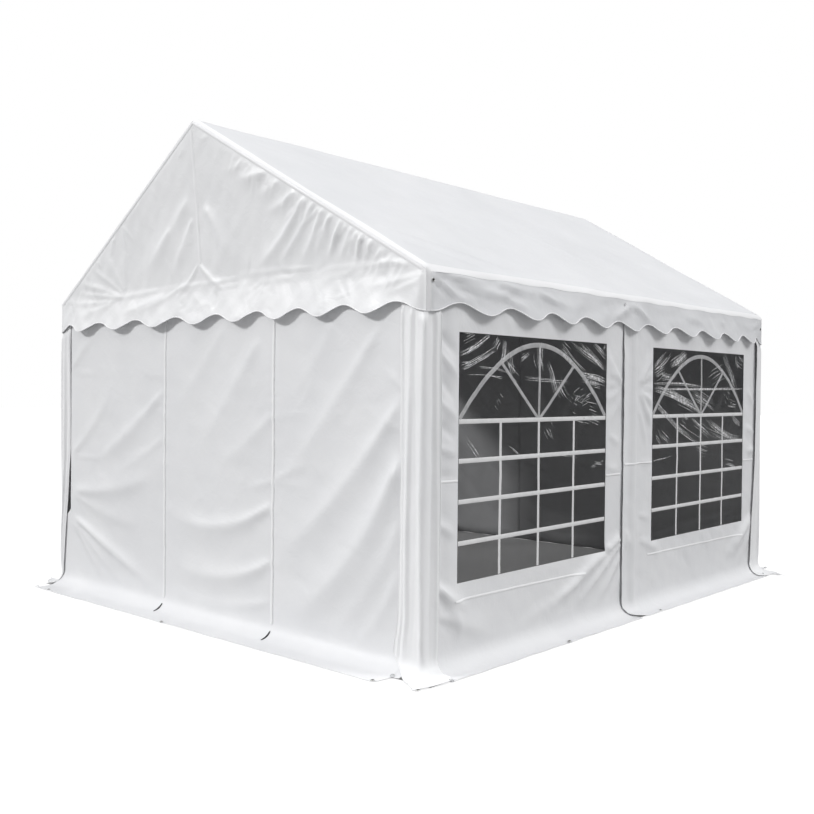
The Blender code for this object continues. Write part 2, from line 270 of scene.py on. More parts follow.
# Folds of the gable, x across and z up: from its right rake, over the rest of it, and along the valance's seam
RAKE_FOLDS = fold_table(
    (0.52, 2.7, 0.24, 2.66, 0.03, 0.006, 0.02), (0.66, 2.63, 0.36, 2.58, 0.03, 0.009, 0.02),
    (0.74, 2.57, 0.46, 2.46, 0.03, 0.009, 0.02), (0.86, 2.5, 0.56, 2.36, 0.028, 0.009, 0.03),
    (0.92, 2.46, 0.42, 2.07, 0.034, 0.016, 0.05), (0.99, 2.43, 0.64, 2.1, 0.026, 0.012, 0.03),
    (1.05, 2.39, 0.78, 2.1, 0.024, 0.011, 0.02), (1.11, 2.36, 0.9, 2.09, 0.024, 0.011, 0.02),
    (1.18, 2.31, 1.02, 2.08, 0.022, 0.01, 0.01), (1.25, 2.27, 1.14, 2.08, 0.02, 0.01, 0.01),
    (1.32, 2.23, 1.24, 2.07, 0.019, 0.009), (1.39, 2.19, 1.31, 2.06, 0.018, 0.008),
    (1.48, 2.14, 1.34, 2.06, 0.018, 0.008), (1.57, 2.09, 1.4, 2.05, 0.016, 0.007),
    (1.69, 2.02, 1.26, 2.05, 0.02, 0.009, -0.02), (1.69, 1.98, 1.34, 1.93, 0.022, 0.009, 0.01),
    (1.69, 1.95, 1.48, 1.86, 0.02, 0.006))
GABLE_FOLDS = fold_table(
    (0.02, 2.5, 0.3, 2.04, 0.055, 0.012, 0.03), (-0.1, 2.56, -0.74, 2.06, 0.075, 0.013, 0.03),
    (-0.08, 2.44, -0.36, 2.1, 0.035, 0.008, 0.01), (-0.3, 2.4, -0.62, 2.14, 0.04, 0.007, 0.01),
    (-0.88, 2.02, -1.1, 2.3, 0.04, 0.01, -0.01), (-0.88, 2.01, -1.3, 2.22, 0.032, 0.011, -0.01),
    (-0.88, 2.00, -1.46, 2.13, 0.026, 0.011, -0.01), (-0.9, 2.00, -1.58, 2.06, 0.02, 0.009),
    (-0.95, 1.99, -1.62, 2.00, 0.02, 0.008, 0.01), (-1.00, 1.98, -1.5, 1.9, 0.028, 0.008, 0.01),
    (-0.88, 2.03, -0.8, 2.3, 0.035, 0.007), (-0.07, 2.16, -0.32, 2.00, 0.02, 0.007, 0.02),
    (-0.07, 2.16, 0.16, 1.97, 0.02, 0.007, -0.02), (0.17, 2.875, 0.03, 2.86, 0.012, 0.004),
    (-0.17, 2.79, -0.04, 2.84, 0.014, 0.004), (-0.2, 2.05, -0.72, 1.88, 0.03, 0.012, 0.01),
    (-0.42, 2.00, -0.98, 1.9, 0.03, 0.008, 0.01), (-0.95, 2.4, -1.02, 2.28, 0.025, 0.004))
BAND_FOLDS = fold_table(
    (1.62, 2.045, 0.85, 2.06, 0.016, 0.008, 0.005), (0.95, 2.062, 0.2, 2.062, 0.018, 0.009, -0.006),
    (0.34, 2.055, -0.52, 2.035, 0.018, 0.009, 0.006), (-0.46, 2.035, -1.2, 1.995, 0.018, 0.008, 0.004),
    (0.8, 2.03, 0.46, 2.01, 0.02, 0.005), (0.3, 2.02, -0.08, 1.99, 0.02, 0.005),
    (1.26, 2.03, 0.92, 1.97, 0.022, 0.006))

# Folds of the right side wall and of its valance: y along, z up
SIDE_FOLDS = fold_table(
    (-0.13, 1.46, -0.36, 1.68, 0.026, 0.01, 0.01), (-0.13, 1.46, -0.34, 1.56, 0.022, 0.008),
    (-0.13, 1.46, -0.36, 1.46, 0.016, 0.006), (-0.13, 1.45, -0.36, 1.34, 0.026, 0.009),
    (-0.13, 1.44, -0.33, 1.2, 0.03, 0.008, 0.01), (-0.02, 0.54, -1.02, 0.12, 0.036, 0.018, -0.03),
    (-0.02, 0.53, -0.7, 0.1, 0.026, 0.016, -0.02), (-0.02, 0.52, -0.46, 0.08, 0.022, 0.013),
    (-0.02, 0.51, -0.26, 0.08, 0.02, 0.008), (-0.02, 0.54, -0.32, 0.5, 0.014, 0.005),
    (-0.6, 0.3, -1.3, 0.1, 0.04, 0.006), (-1.93, 0.45, -1.66, 0.3, 0.032, 0.012, -0.02),
    (-1.93, 0.45, -1.72, 0.12, 0.045, 0.012, 0.03), (-1.93, 0.3, -1.4, 0.1, 0.055, 0.01),
    (-1.93, 1.72, -1.76, 1.56, 0.022, -0.011), (-1.93, 1.62, -1.74, 1.44, 0.018, 0.01),
    (-1.93, 1.52, -1.78, 1.34, 0.02, -0.01), (-1.93, 1.38, -1.75, 1.24, 0.02, 0.009),
    (-1.93, 1.27, -1.77, 1.15, 0.022, -0.009), (-1.93, 1.13, -1.76, 1.08, 0.018, 0.008),
    (-1.93, 0.98, -1.77, 0.98, 0.018, -0.007), (-1.93, 0.76, -1.76, 0.66, 0.022, 0.008),
    (-0.34, 0.95, -0.14, 0.92, 0.02, 0.005), (-0.3, 1.14, -0.14, 1.08, 0.024, 0.006),
    (0.07, 1.46, 0.28, 1.68, 0.028, 0.012), (0.07, 1.45, 0.3, 1.57, 0.018, 0.01),
    (0.06, 1.44, 0.36, 1.44, 0.012, 0.006), (0.07, 1.42, 0.3, 1.31, 0.022, 0.011),
    (0.07, 1.41, 0.27, 1.15, 0.026, 0.012), (0.07, 1.3, 0.2, 1.02, 0.02, 0.007),
    (0.09, 0.96, 0.27, 0.95, 0.016, 0.005), (0.09, 0.62, 0.27, 0.58, 0.02, 0.006),
    (0.09, 0.46, 0.4, 0.36, 0.03, 0.007), (1.9, 1.33, 1.72, 1.46, 0.03, 0.008),
    (1.9, 1.11, 1.72, 1.16, 0.026, 0.009), (1.9, 0.99, 1.72, 0.96, 0.026, 0.01),
    (1.9, 0.5, 1.48, 0.16, 0.04, 0.014, -0.02), (1.9, 0.5, 1.66, 0.1, 0.034, 0.011),
    (1.9, 0.44, 1.3, 0.12, 0.05, 0.008, -0.03), (-1.4, 1.84, -1.3, 1.72, 0.04, 0.006),
    (-0.8, 1.86, -0.9, 1.74, 0.04, 0.006), (0.9, 1.86, 0.8, 1.74, 0.04, 0.006))
VALANCE_FOLDS = fold_table(
    (-2.02, 1.975, -1.72, 1.84, 0.017, 0.012), (-2.02, 1.99, -1.42, 1.93, 0.013, 0.01, 0.01),
    (-2.02, 1.925, -1.86, 1.83, 0.012, 0.007), (-1.82, 1.95, -1.36, 1.89, 0.014, 0.009),
    (-1.52, 1.98, -1.04, 1.93, 0.012, 0.008), (-1.46, 1.91, -1.18, 1.84, 0.012, 0.008),
    (-1.2, 1.97, -0.86, 1.9, 0.012, 0.007), (-1.62, 1.9, -1.3, 1.93, 0.02, 0.005),
    (-0.04, 1.965, -0.32, 1.86, 0.02, 0.012, 0.01), (-0.04, 1.965, 0.2, 1.87, 0.02, 0.012, -0.01),
    (-1.1, 1.95, -0.7, 1.88, 0.024, 0.006), (0.6, 1.94, 1.00, 1.9, 0.022, 0.005),
    (2.00, 1.95, 1.62, 1.9, 0.018, 0.006))

# Creases of the roof: x across, y along
ROOF_CREASES = fold_table(
    (1.28, -1.95, 1.66, -1.02, 0.02, 0.01, 0.02), (1.44, -1.95, 1.69, -1.35, 0.016, 0.008, 0.01),
    (0.2, -1.9, 0.55, -1.1, 0.03, 0.003), (1.6, 1.7, 1.05, 1.1, 0.03, 0.003),
    (0.7, -0.3, 1.5, 0.5, 0.05, 0.003, 0.05))

# Finer folds of each sheet
FRONT_CRUMPLES = crumples(70, 11, (-1.55, 0.15), (1.55, 1.85), (0.08, 0.35), (0.010, 0.028), (0.001, 0.0032))
SIDE_CRUMPLES = crumples(120, 12, (-1.9, 0.15), (1.9, 1.85), (0.06, 0.25), (0.008, 0.020), (0.001, 0.0032))
BAND_CRUMPLES = crumples(90, 13, (-1.68, 1.83), (1.68, 2.10), (0.05, 0.22), (0.007, 0.018), (0.0015, 0.0045))
VALANCE_CRUMPLES = crumples(130, 14, (-1.98, 1.83), (1.98, 2.00), (0.05, 0.20), (0.007, 0.016), (0.002, 0.006))


# Materials

class Look:
    """The nodes of a material or of the world, with sockets worked out from one place."""

    def __init__(self, owner, place="Object"):
        owner.use_nodes = True
        self.owner, self.tree = owner, owner.node_tree
        self.place = self.add("ShaderNodeTexCoord").outputs[place]

    def feed(self, item, inputs):
        """Gives a node its inputs, each a value or another node's output socket."""
        for name, value in inputs.items():
            if isinstance(value, bpy.types.NodeSocket):
                self.tree.links.new(value, item.inputs[name])
            else:
                item.inputs[name].default_value = value

    def add(self, kind, inputs=None, **settings):
        item = self.tree.nodes.new(kind)
        for name, value in settings.items():
            setattr(item, name, value)
        self.feed(item, inputs or {})
        return item

    def finish(self, inputs):
        """Feeds the surface and gives the material back."""
        self.feed(self.tree.nodes["Principled BSDF"], inputs)
        return self.owner

    def math(self, operation, first, second):
        return self.add("ShaderNodeMath", {0: first, 1: second}, operation=operation).outputs["Value"]

    def map(self, value, low, high, from_low=0.3, from_high=0.7):
        ranges = {"From Min": from_low, "From Max": from_high, "To Min": low, "To Max": high}
        return self.add("ShaderNodeMapRange", {"Value": value, **ranges}).outputs["Result"]

    def noise(self, scale, detail=3.0, roughness=0.5, distortion=0.0, kind="FBM"):
        inputs = {"Vector": self.place, "Scale": scale, "Detail": detail, "Roughness": roughness,
                  "Distortion": distortion}
        return self.add("ShaderNodeTexNoise", inputs, noise_type=kind).outputs["Fac"]

    def color(self, value, dark, light, low=0.3, high=0.7):
        """A colour between dark and light as the value goes from low to high."""
        ramp = self.add("ShaderNodeValToRGB", {"Fac": value})
        for element, position, color in zip(ramp.color_ramp.elements, (low, high), (dark, light)):
            element.position = position
            element.color = (*color, 1.0)
        return ramp.outputs["Color"]

    def threads(self, scale):
        """The woven threads that show faintly through coated fabric."""
        ways = [self.add("ShaderNodeTexWave", {"Vector": self.place, "Scale": scale}, bands_direction=way)
                for way in ("DIAGONAL", "Z")]
        return self.math("ADD", ways[0].outputs["Fac"], ways[1].outputs["Fac"])

    def bump(self, *layers):
        """The normal that layers of (height socket, height in metres) give together."""
        total = None
        for socket, height in layers:
            layer = self.math("MULTIPLY", socket, height)
            total = self.math("ADD", total, layer) if total else layer
        return self.add("ShaderNodeBump", {"Height": total, "Strength": 1.0, "Distance": 1.0}).outputs["Normal"]


def make_pvc(name, dark, light, crumple):
    look = Look(bpy.data.materials.new(name))
    soft = look.noise(9.0, 4.0, 0.6, 0.5)
    creased = look.noise(4.2, 4.0, 0.5, 0.6, "RIDGED_MULTIFRACTAL")
    return look.finish({
        "Base Color": look.color(look.noise(1.7, 5.0, 0.6), dark, light),
        "Roughness": look.map(look.noise(6.0, 4.0), 0.38, 0.52),
        "Normal": look.bump((soft, crumple * 2.0), (creased, crumple * 0.45), (look.noise(260.0, 2.0), 0.00002),
                            (look.threads(140.0), 0.000012))})


def make_film():
    look = Look(bpy.data.materials.new("window_film"))
    broad = look.noise(2.6, 4.0, 0.6)
    stretched = look.noise(5.0, 5.0, 0.55, 1.2)
    sharp = look.noise(9.0, 3.0, 0.5, 0.8, "RIDGED_MULTIFRACTAL")
    return look.finish({
        "Base Color": look.color(broad, (0.012, 0.012, 0.013), (0.026, 0.026, 0.028)), "Roughness": 0.1,
        "Alpha": look.map(broad, 0.40, 0.50), "Specular IOR Level": 0.35,
        "Normal": look.bump((stretched, 0.006), (sharp, 0.0006))})


def make_crinkle_whitening_and_highlight():
    """Crinkled film, white: partly the whitening of creased film, partly a painted highlight where the creases
    would catch the light; thinner in places.
    """
    look = Look(bpy.data.materials.new("film_crinkle_whitening_and_highlight"))
    return look.finish({
        "Base Color": look.color(look.noise(34.0), (0.72, 0.72, 0.73), (0.95, 0.95, 0.95)), "Roughness": 0.3,
        "Alpha": look.map(look.noise(44.2, 3.0, 0.7), 0.35, 1.0, 0.38, 0.62)})


def make_plain(name, dark, light, roughness, metallic=0.0, scale=20.0):
    """A finish with some unevenness in colour, gloss and surface."""
    look = Look(bpy.data.materials.new(name))
    patches = look.noise(scale, 4.0, 0.6)
    return look.finish({
        "Base Color": look.color(patches, dark, light), "Metallic": metallic,
        "Roughness": look.map(patches, roughness - 0.06, roughness + 0.08),
        "Normal": look.bump((look.noise(scale * 5), 0.0002))})


def make_steel():
    """Galvanised tube: zinc spangle in patches of unlike grey."""
    look = Look(bpy.data.materials.new("galvanised_steel"))
    spangle = look.add("ShaderNodeTexVoronoi", {"Vector": look.place, "Scale": 90.0}).outputs["Color"]
    grey = look.add("ShaderNodeSeparateColor", {"Color": spangle}).outputs["Red"]
    return look.finish({
        "Base Color": look.color(grey, (0.50, 0.51, 0.52), (0.68, 0.69, 0.70), 0.1, 0.9), "Metallic": 1.0,
        "Roughness": look.map(grey, 0.34, 0.5, 0.0, 1.0), "Normal": look.bump((look.noise(400.0), 0.00004))})


PVC = make_pvc("pvc_white", (0.790, 0.795, 0.810), (0.837, 0.840, 0.850), 0.0016)
# A lighter copy of the same white PVC, painted light on the gables and the corner covers.
PVC_LIT_COPY = make_pvc("pvc_lit_copy", (0.855, 0.860, 0.870), (0.895, 0.897, 0.905), 0.0018)
# A darker copy of the same white PVC, painted shade on the roof and its side valances.
PVC_SHADED_COPY = make_pvc("pvc_shaded_copy", (0.705, 0.713, 0.730), (0.755, 0.760, 0.775), 0.0012)
# A lighter copy of the PVC for hems and welds; laid over the roof's rounded eaves and rakes it is a painted
# highlight.
HEM_AND_HIGHLIGHT = make_pvc("pvc_hem_and_highlight", (0.88, 0.88, 0.89), (0.92, 0.92, 0.93), 0.0004)
FILM = make_film()
CRINKLE_WHITENING_AND_HIGHLIGHT = make_crinkle_whitening_and_highlight()
BAR = make_plain("window_bar", (0.72, 0.72, 0.72), (0.80, 0.80, 0.80), 0.4)
ARCH_BAR = make_plain("window_arch", (0.36, 0.36, 0.365), (0.52, 0.52, 0.52), 0.4)
TAPE = make_plain("zip_tape", (0.90, 0.905, 0.91), (0.94, 0.94, 0.95), 0.5)
TEETH = make_plain("zip_teeth", (0.66, 0.66, 0.67), (0.75, 0.75, 0.76), 0.5)
# Near black: dark tape at a zip's foot with the painted shade of its opening, and the painted shade in eyelet
# holes.
DARK_TAPE_AND_SHADE = make_plain("dark_tape_and_shade", (0.02, 0.02, 0.022), (0.05, 0.05, 0.055), 0.7)
BRASS = make_plain("eyelet_metal", (0.55, 0.55, 0.54), (0.72, 0.71, 0.69), 0.3, 1.0, 60.0)
STEEL = make_steel()
SLOTS = {FILM: "window_film", CRINKLE_WHITENING_AND_HIGHLIGHT: "window_film", BAR: "window_film", ARCH_BAR: "window_film",
         BRASS: "galvanised_steel", STEEL: "galvanised_steel"}


# Building meshes

def add_object(name, data):
    item = bpy.data.objects.new(name, data)
    bpy.context.scene.collection.objects.link(item)
    return item


def settle(piece, replaced=()):
    """Every piece rides on the one body and hides what it stands for."""
    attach(piece, "root")
    SLOTS.get(piece.data.materials[0], "pvc_white")
    if replaced:
        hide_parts(*replaced)
    return piece


def half_turn(points, turned):
    return points * np.array([-1.0, -1.0, 1.0]) if turned else points


def grid_faces(rows, columns, start=0):
    """The squares of a grid of points, by the points' numbers."""
    index = start + np.arange(rows * columns).reshape(rows, columns)
    return np.stack([index[:-1, :-1], index[:-1, 1:], index[1:, 1:], index[1:, :-1]], axis=-1).reshape(-1, 4)


def mesh_object(name, points, faces, material):
    mesh = bpy.data.meshes.new(name)
    mesh.from_pydata(points.tolist(), [], faces.tolist())
    mesh.materials.append(material)
    mesh.shade_smooth()
    return add_object(name, mesh)


def face_outwards(piece):
    """Turns the mesh so that most of it faces away from the middle of the tent."""
    shape = bmesh.new()
    shape.from_mesh(piece.data)
    middle = Vector(TENT_MIDDLE)
    if sum(face.normal.dot(face.calc_center_median() - middle) * face.calc_area() for face in shape.faces) < 0:
        bmesh.ops.reverse_faces(shape, faces=shape.faces)
        shape.to_mesh(piece.data)
    shape.free()


def add_sheet(name, points, replaced, material=PVC, keep=None, turned=False, thickness=THICKNESS, cuts=()):
    """A sheet from a grid of points; keep says which squares stay, and cuts are planes that trim it."""
    faces = grid_faces(*points.shape[:2])
    if keep is not None:
        faces = faces[keep.ravel()]
    piece = mesh_object(name, half_turn(points, turned).reshape(-1, 3), faces, material)
    shape = bmesh.new()
    shape.from_mesh(piece.data)
    for place, normal in cuts:
        place, normal = (Vector(half_turn(np.array(values), turned)) for values in (place, normal))
        everything = shape.verts[:] + shape.edges[:] + shape.faces[:]
        bmesh.ops.bisect_plane(shape, geom=everything, plane_co=place, plane_no=normal, clear_outer=True)
    bmesh.ops.remove_doubles(shape, verts=shape.verts, dist=TRIM_MERGE if cuts else MERGE)
    bmesh.ops.delete(shape, geom=[vert for vert in shape.verts if not vert.link_faces], context='VERTS')
    for edge in shape.edges:
        edge.smooth = not edge.is_boundary
    shape.to_mesh(piece.data)
    shape.free()
    face_outwards(piece)
    if thickness:
        solid = piece.modifiers.new("sheet thickness", 'SOLIDIFY')
        solid.thickness = thickness
        solid.offset = -1.0
    return settle(piece, replaced)


def add_hem(name, lines, turned=False, radius=EDGE_RADIUS):
    """Round hems along lines of points."""
    curve = bpy.data.curves.new(name, 'CURVE')
    curve.dimensions = '3D'
    curve.bevel_depth = radius
    curve.bevel_resolution = 1
    curve.use_fill_caps = True
    for line in lines:
        line = half_turn(np.array(line), turned)
        spline = curve.splines.new('POLY')
        spline.points.add(len(line) - 1)
        spline.points.foreach_set("co", np.column_stack([line, np.ones(len(line))]).ravel())
    curve.materials.append(HEM_AND_HIGHLIGHT)
    return settle(add_object(name, curve))


# Cross-sections of a strip and of a fine strand: how far across and how far up
STRIP = ((-1.0, 0.1), (-0.8, 1.0), (0.0, 1.0), (0.8, 1.0), (1.0, 0.1))
STRAND = ((-1.0, 0.6), (0.0, 1.0), (1.0, 0.6))
TAPER_END = 0.004


def ribbon_grid(path, width, lift, place, step=RIBBON_STEP, taper=False, section=STRIP):
    """Points of a strip along a path on a sheet, with edges that come down to the sheet."""
    path = np.array(path, float)
    runs = run_lengths(path)
    places = np.linspace(0, runs[-1], max(2, round(runs[-1] / step) + 1))
    line = np.column_stack([np.interp(places, runs, path[:, axis]) for axis in (0, 1)])
    tangent = np.gradient(line, axis=0)
    tangent /= np.linalg.norm(tangent, axis=1)[:, None]
    reach = np.full(len(line), width / 2)
    if taper:
        reach = reach * np.sqrt(np.clip(1 - np.linspace(-1, 1, len(line)) ** 2, TAPER_END, 1))
    share, level = np.array(section).T[:, :, None]
    a = line[:, 0] - tangent[:, 1] * reach * share
    b = line[:, 1] + tangent[:, 0] * reach * share
    return place(a, b, lift * np.broadcast_to(level, a.shape))


def add_ribbons(name, ribbons, material, turned=False):
    """Several strips as one mesh; ribbons are grids of points."""
    faces, start = [], 0
    for grid in ribbons:
        faces.append(grid_faces(*grid.shape[:2], start))
        start += grid.shape[0] * grid.shape[1]
    points = np.concatenate([grid.reshape(-1, 3) for grid in ribbons])
    piece = mesh_object(name, half_turn(points, turned), np.concatenate(faces), material)
    face_outwards(piece)
    return settle(piece)


# Walls: a place on a wall is (along, height on the flat sheet), which goes on below zero on the flap

WALL_PATH = RoundedPath(((0.0, WALL_TOP), (0.0, FLAP_LIFT), (0.4, FLAP_LIFT)), FLAP_BEND, 1200)
BEND_HEIGHT = FLAP_LIFT + FLAP_BEND
FLAP_POINTS = 19
FRONT_REACH = FLAP_FRONT_EDGE - FRONT_FACE
SIDE_REACH = FLAP_SIDE_EDGE - SIDE_FACE
# Folds fade out below this height, and the flap swells by this much where it lies
FOLDS_FADE = 0.16
SWELL = 0.0022

# Front wall: the strength of its folds, the zips' grooves and puckers, and where its outer edges are held
FRONT_RELIEF = 1.25
ZIP_GROOVE, ZIP_GROOVE_WIDTH = 0.003, 0.022
PUCKER, PUCKER_REACH, PUCKER_WIDTH = 0.003, 0.05, 0.014
FRONT_HELD = 1.585

# The left panel's slit beside the corner cover, and how far the panel goes on under the cover below it
SLIT_LEFT = 1.591
SLIT_WANDER = 0.0012
SLIT_END = 0.56
UNDER_COVER = 0.03

# Side wall: the strength of its folds, the ridge over the middle post, the hollow beside the front cover,
# and where the covers hold it
SIDE_RELIEF = 1.6
WINDOW_RELIEF = 0.1
POST_RIDGE, POST_RIDGE_PLACE, POST_RIDGE_WIDTH = 0.018, 0.005, 0.034
HOLLOW, HOLLOW_PLACE, HOLLOW_WIDTH = 0.016, -1.885, 0.045
HELD_FRONT = 1.935
HELD_REAR = 1.925

# Laps of the side wall: the long bay's edge stands off, and the short bay sinks under it
EDGE_LIFT = 0.013
LAP = 0.06
LAP_SINK = 0.005
COVER_LAP = 0.03


def flap_run(reach):
    """Run of sheet from the start of the bend to an edge this far out."""
    return FLAP_BEND * math.pi / 2 + reach - FLAP_BEND


def flap_swell(a, b, seed):
    """Low swells where the flap lies on the ground, never below it."""
    return smooth((0.02 - b) / 0.08) * SWELL * (1.2 + ripple(a, b, seed, 0.28, 1.0))


def wall_section(b, height):
    """Out and up from a place's flat height, with height standing off along the sheet's own normal."""
    out, up, out_normal, up_normal = WALL_PATH.at(WALL_TOP - b)
    return out + out_normal * height, up + up_normal * height


def front_place(strength, seed):
    """Where the front wall's sheets lie."""
    def place(a, b, lift):
        height = folds_at(FRONT_FOLDS, a, b) * strength * FRONT_RELIEF + folds_at(FRONT_CRUMPLES, a, b)
        height = height + ripple(a, b, seed, 0.55, 0.0022) + ripple(a, b, seed + 1, 0.2, 0.0009)
        for edge, levels in ZIP_PUCKERS:
            height = height - ZIP_GROOVE * bell(a - edge, ZIP_GROOVE_WIDTH)
            for level in levels:
                height = height + PUCKER * bell(a - edge, PUCKER_REACH) * bell(b - level, PUCKER_WIDTH)
        height = height * smooth((FRONT_HELD - np.abs(a)) / 0.04) * smooth(b / FOLDS_FADE)
        out, up = wall_section(b, height + flap_swell(a, b, seed) + lift)
        return np.stack([a, -(FRONT_FACE + out), up], axis=-1)
    return place


def beside_windows(a, b):
    """0 on a window and its weld, 1 a hand's breadth away from it."""
    free = 1.0
    for low, high in WINDOW.values():
        away = np.maximum(np.maximum(low - a, a - high), np.maximum(WINDOW_BOTTOM - b, b - WINDOW_TOP))
        free = free * smooth((away + 0.005) / 0.035)
    return free


def side_field(a, b, strength, seed):
    """How far a side wall sheet stands off its face."""
    height = folds_at(SIDE_FOLDS, a, b) * strength * SIDE_RELIEF + folds_at(SIDE_CRUMPLES, a, b)
    height = height + ripple(a, b, seed, 0.5, 0.0018) + ripple(a, b, seed + 1, 0.16, 0.001)
    height = height * (WINDOW_RELIEF + (1 - WINDOW_RELIEF) * beside_windows(a, b))
    height = height + POST_RIDGE * bell(a - POST_RIDGE_PLACE, POST_RIDGE_WIDTH, 3)
    height = height - HOLLOW * bell(a - HOLLOW_PLACE, HOLLOW_WIDTH) * smooth((b - 0.2) / 0.2)
    held = np.where(a > 1.0, HELD_REAR - side_lean("narrow", b) - a, HELD_FRONT - np.abs(a))
    return height * smooth(held / 0.05) * smooth(b / FOLDS_FADE) + flap_swell(a, b, seed)


def side_place(kind, strength, seed):
    """Where a side wall sheet lies; the long bay's free edge stands off the short bay, which goes on under it."""
    def place(a, b, lift):
        if kind == "long":
            inside = a - LONG_BAY[0]
            pull = smooth((inside - 0.03) / 0.05)
            edge = EDGE_LIFT * bell(inside, 0.03) * (0.4 + 0.6 * smooth(b / 0.1))
            edge = edge + EDGE_LIFT * bell(inside - 0.06, 0.06) * smooth((0.05 - b) / 0.08)
        else:
            inside = SHORT_BAY[1] - a
            pull = smooth((inside - 0.004) / 0.03)
            edge = -LAP_SINK * smooth(-inside / 0.02) * smooth(b / 0.1)
        out, up = wall_section(b, side_field(a, b, strength * pull, seed) + edge + lift)
        return np.stack([SIDE_FACE + out, a, up], axis=-1)
    return place


def wall_heights(length, stops=()):
    """Flat heights from the top down to the flap's edge, this far below the start of the bend."""
    flap = BEND_HEIGHT - length * np.linspace(0, 1, FLAP_POINTS)[1:]
    return np.concatenate([spaced(WALL_TOP, *stops, BEND_HEIGHT, step=STEP), flap])


def round_share(distance, radius):
    """Share of the flap left at this distance from an upright edge whose lower corner is round."""
    return np.sqrt(np.clip(1 - (1 - np.clip(distance / radius, 0, 1)) ** 2, 0, 1))


def panel_edge(b):
    """The left panel leaves a slit beside the corner cover, and lower down goes on under it."""
    slit = -SLIT_LEFT - PANEL_LEFT + SLIT_WANDER * np.sin(b * 17)
    return slit + (-front_lean("narrow", b) - UNDER_COVER - slit) * smooth((SLIT_END - b) / 0.08)


# Past the right panel's edge its flap narrows: the distance past the edge, and the share of the flap left
PAST_EDGE = ((-0.03, 0.0, 0.015, 0.03, 0.07), (1.0, 0.98, 0.92, 0.56, 0.52))


def add_front(end, left, right, turned, strength, seed):
    """The two fixed panels and the door panel between two zips, on one gable end."""
    place = front_place(strength, seed)
    length = flap_run(FRONT_REACH)
    panels = ((f"{end}_wall_{left}", PANEL_LEFT, DOOR_LEFT), (f"{end}_door", DOOR_LEFT, DOOR_RIGHT),
              (f"{end}_wall_{right}", DOOR_RIGHT, PANEL_RIGHT))
    for node, low, high in panels:
        across = spaced(low, high, step=STEP)
        shares = np.ones(len(across))
        if high == PANEL_RIGHT:
            across = spaced(low, high - 0.03, high + 0.015, high + 0.03, high + 0.07, step=STEP)
            shares = np.interp(across - high, *PAST_EDGE)
        if low == PANEL_LEFT:
            shares = 1 - (1 - round_share(across - low + 0.012, 0.05)) * 0.3
        b = np.stack([wall_heights(length * share) for share in shares], axis=1)
        a = np.broadcast_to(across, b.shape)
        if low == PANEL_LEFT:
            a = a + panel_edge(b) * smooth(1 - (a - low) / 0.12)
        points = place(a, b, 0.0)
        panel = add_sheet(f"{node}_sheet", points, (node,), turned=turned)
        hem = add_hem(f"{node}_hem", [points[-1] - (0, 0, 0.0005)], turned)
    add_zips(end, turned, place)


# Zips: where they end, the places along their curved ends, and the width and height of each strip
ZIP_BOTTOM = 0.09
ZIP_TOP = WALL_TOP - 0.01
ZIP_SHARES = np.linspace(0, 1, 9)
TAPE_SIZE, TEETH_SIZE, TAIL_SIZE, INNER_SIZE = (0.018, 0.0035), (0.004, 0.0012), (0.014, 0.0035), (0.03, -0.006)


def add_zips(end, turned, place):
    """The tape and teeth of both zips, their curved ends in dark tape with the painted shade of the opening there,
    and the covers behind them.
    """
    zips = {"zip_tapes": TAPE, "zip_teeth": TEETH, "zip_ends": DARK_TAPE_AND_SHADE, "zip_inner_covers": TEETH}
    strips = {name: [] for name in zips}
    for edge in (DOOR_LEFT, DOOR_RIGHT):
        tape = [(edge - 0.005, ZIP_TOP), (edge - 0.005, ZIP_BOTTOM)]
        teeth = [(edge + 0.007, ZIP_TOP), (edge + 0.006, ZIP_BOTTOM)]
        tail = [(edge - 0.002 - 0.012 * share ** 2, 0.052 - 0.075 * share) for share in ZIP_SHARES]
        strips["zip_tapes"].append(ribbon_grid(tape, *TAPE_SIZE, place))
        strips["zip_teeth"].append(ribbon_grid(teeth, *TEETH_SIZE, place))
        strips["zip_ends"].append(ribbon_grid(tail, *TAIL_SIZE, place, 0.008, taper=True))
        strips["zip_inner_covers"].append(ribbon_grid([(edge, ZIP_TOP), (edge, 0.1)], *INNER_SIZE, place))
    for name, material in zips.items():
        add_ribbons(f"{end}_{name}", strips[name], material, turned)


# Corner covers

# A cover's sizes, and its upright folds as (place round the post, width, height)
Cover = namedtuple("Cover", "mirror front_width side_width front_round folds")
COVERS = {
    "wide": Cover(1, 0.162, 0.097, 0.3, (
        (0.017, 0.008, 0.010), (0.060, 0.017, 0.018), (0.102, 0.011, -0.004), (0.146, 0.009, 0.015),
        (0.190, 0.011, -0.009), (0.220, 0.009, 0.008), (0.249, 0.010, 0.010))),
    "narrow": Cover(-1, 0.125, 0.112, 0.09, (
        (0.020, 0.010, 0.010), (0.060, 0.013, 0.014), (0.100, 0.010, 0.008), (0.180, 0.016, 0.012),
        (0.226, 0.008, 0.010))),
}
COVER_RADIUS = 0.027
COVER_LIFT = 0.004
COVER_FLAP_OVER = 0.02
# The valances hold the cover flat above this height, which is lower at its corner
COVER_TOP, COVER_TOP_DIP = 1.84, 0.04
COVER_BULGE = 0.010
COVER_SIDE_LIFT = 0.011
COVER_FRONT_LIFT = 0.007
CORNER_POWER = 14.0


def front_lean(kind, b):
    """The narrow cover's front edge draws back towards the post lower down; the wide one's spreads at its foot."""
    return 0.09 * np.clip((0.95 - b) / 0.95, 0, 1) if kind == "narrow" else -0.03 * smooth((0.32 - b) / 0.25)


def side_lean(kind, b):
    """The narrow cover's side edge reaches over the side wall, and further lower down."""
    return 0.02 + 0.065 * smooth((1.0 - b) / 0.95) if kind == "narrow" else np.zeros(b.shape)


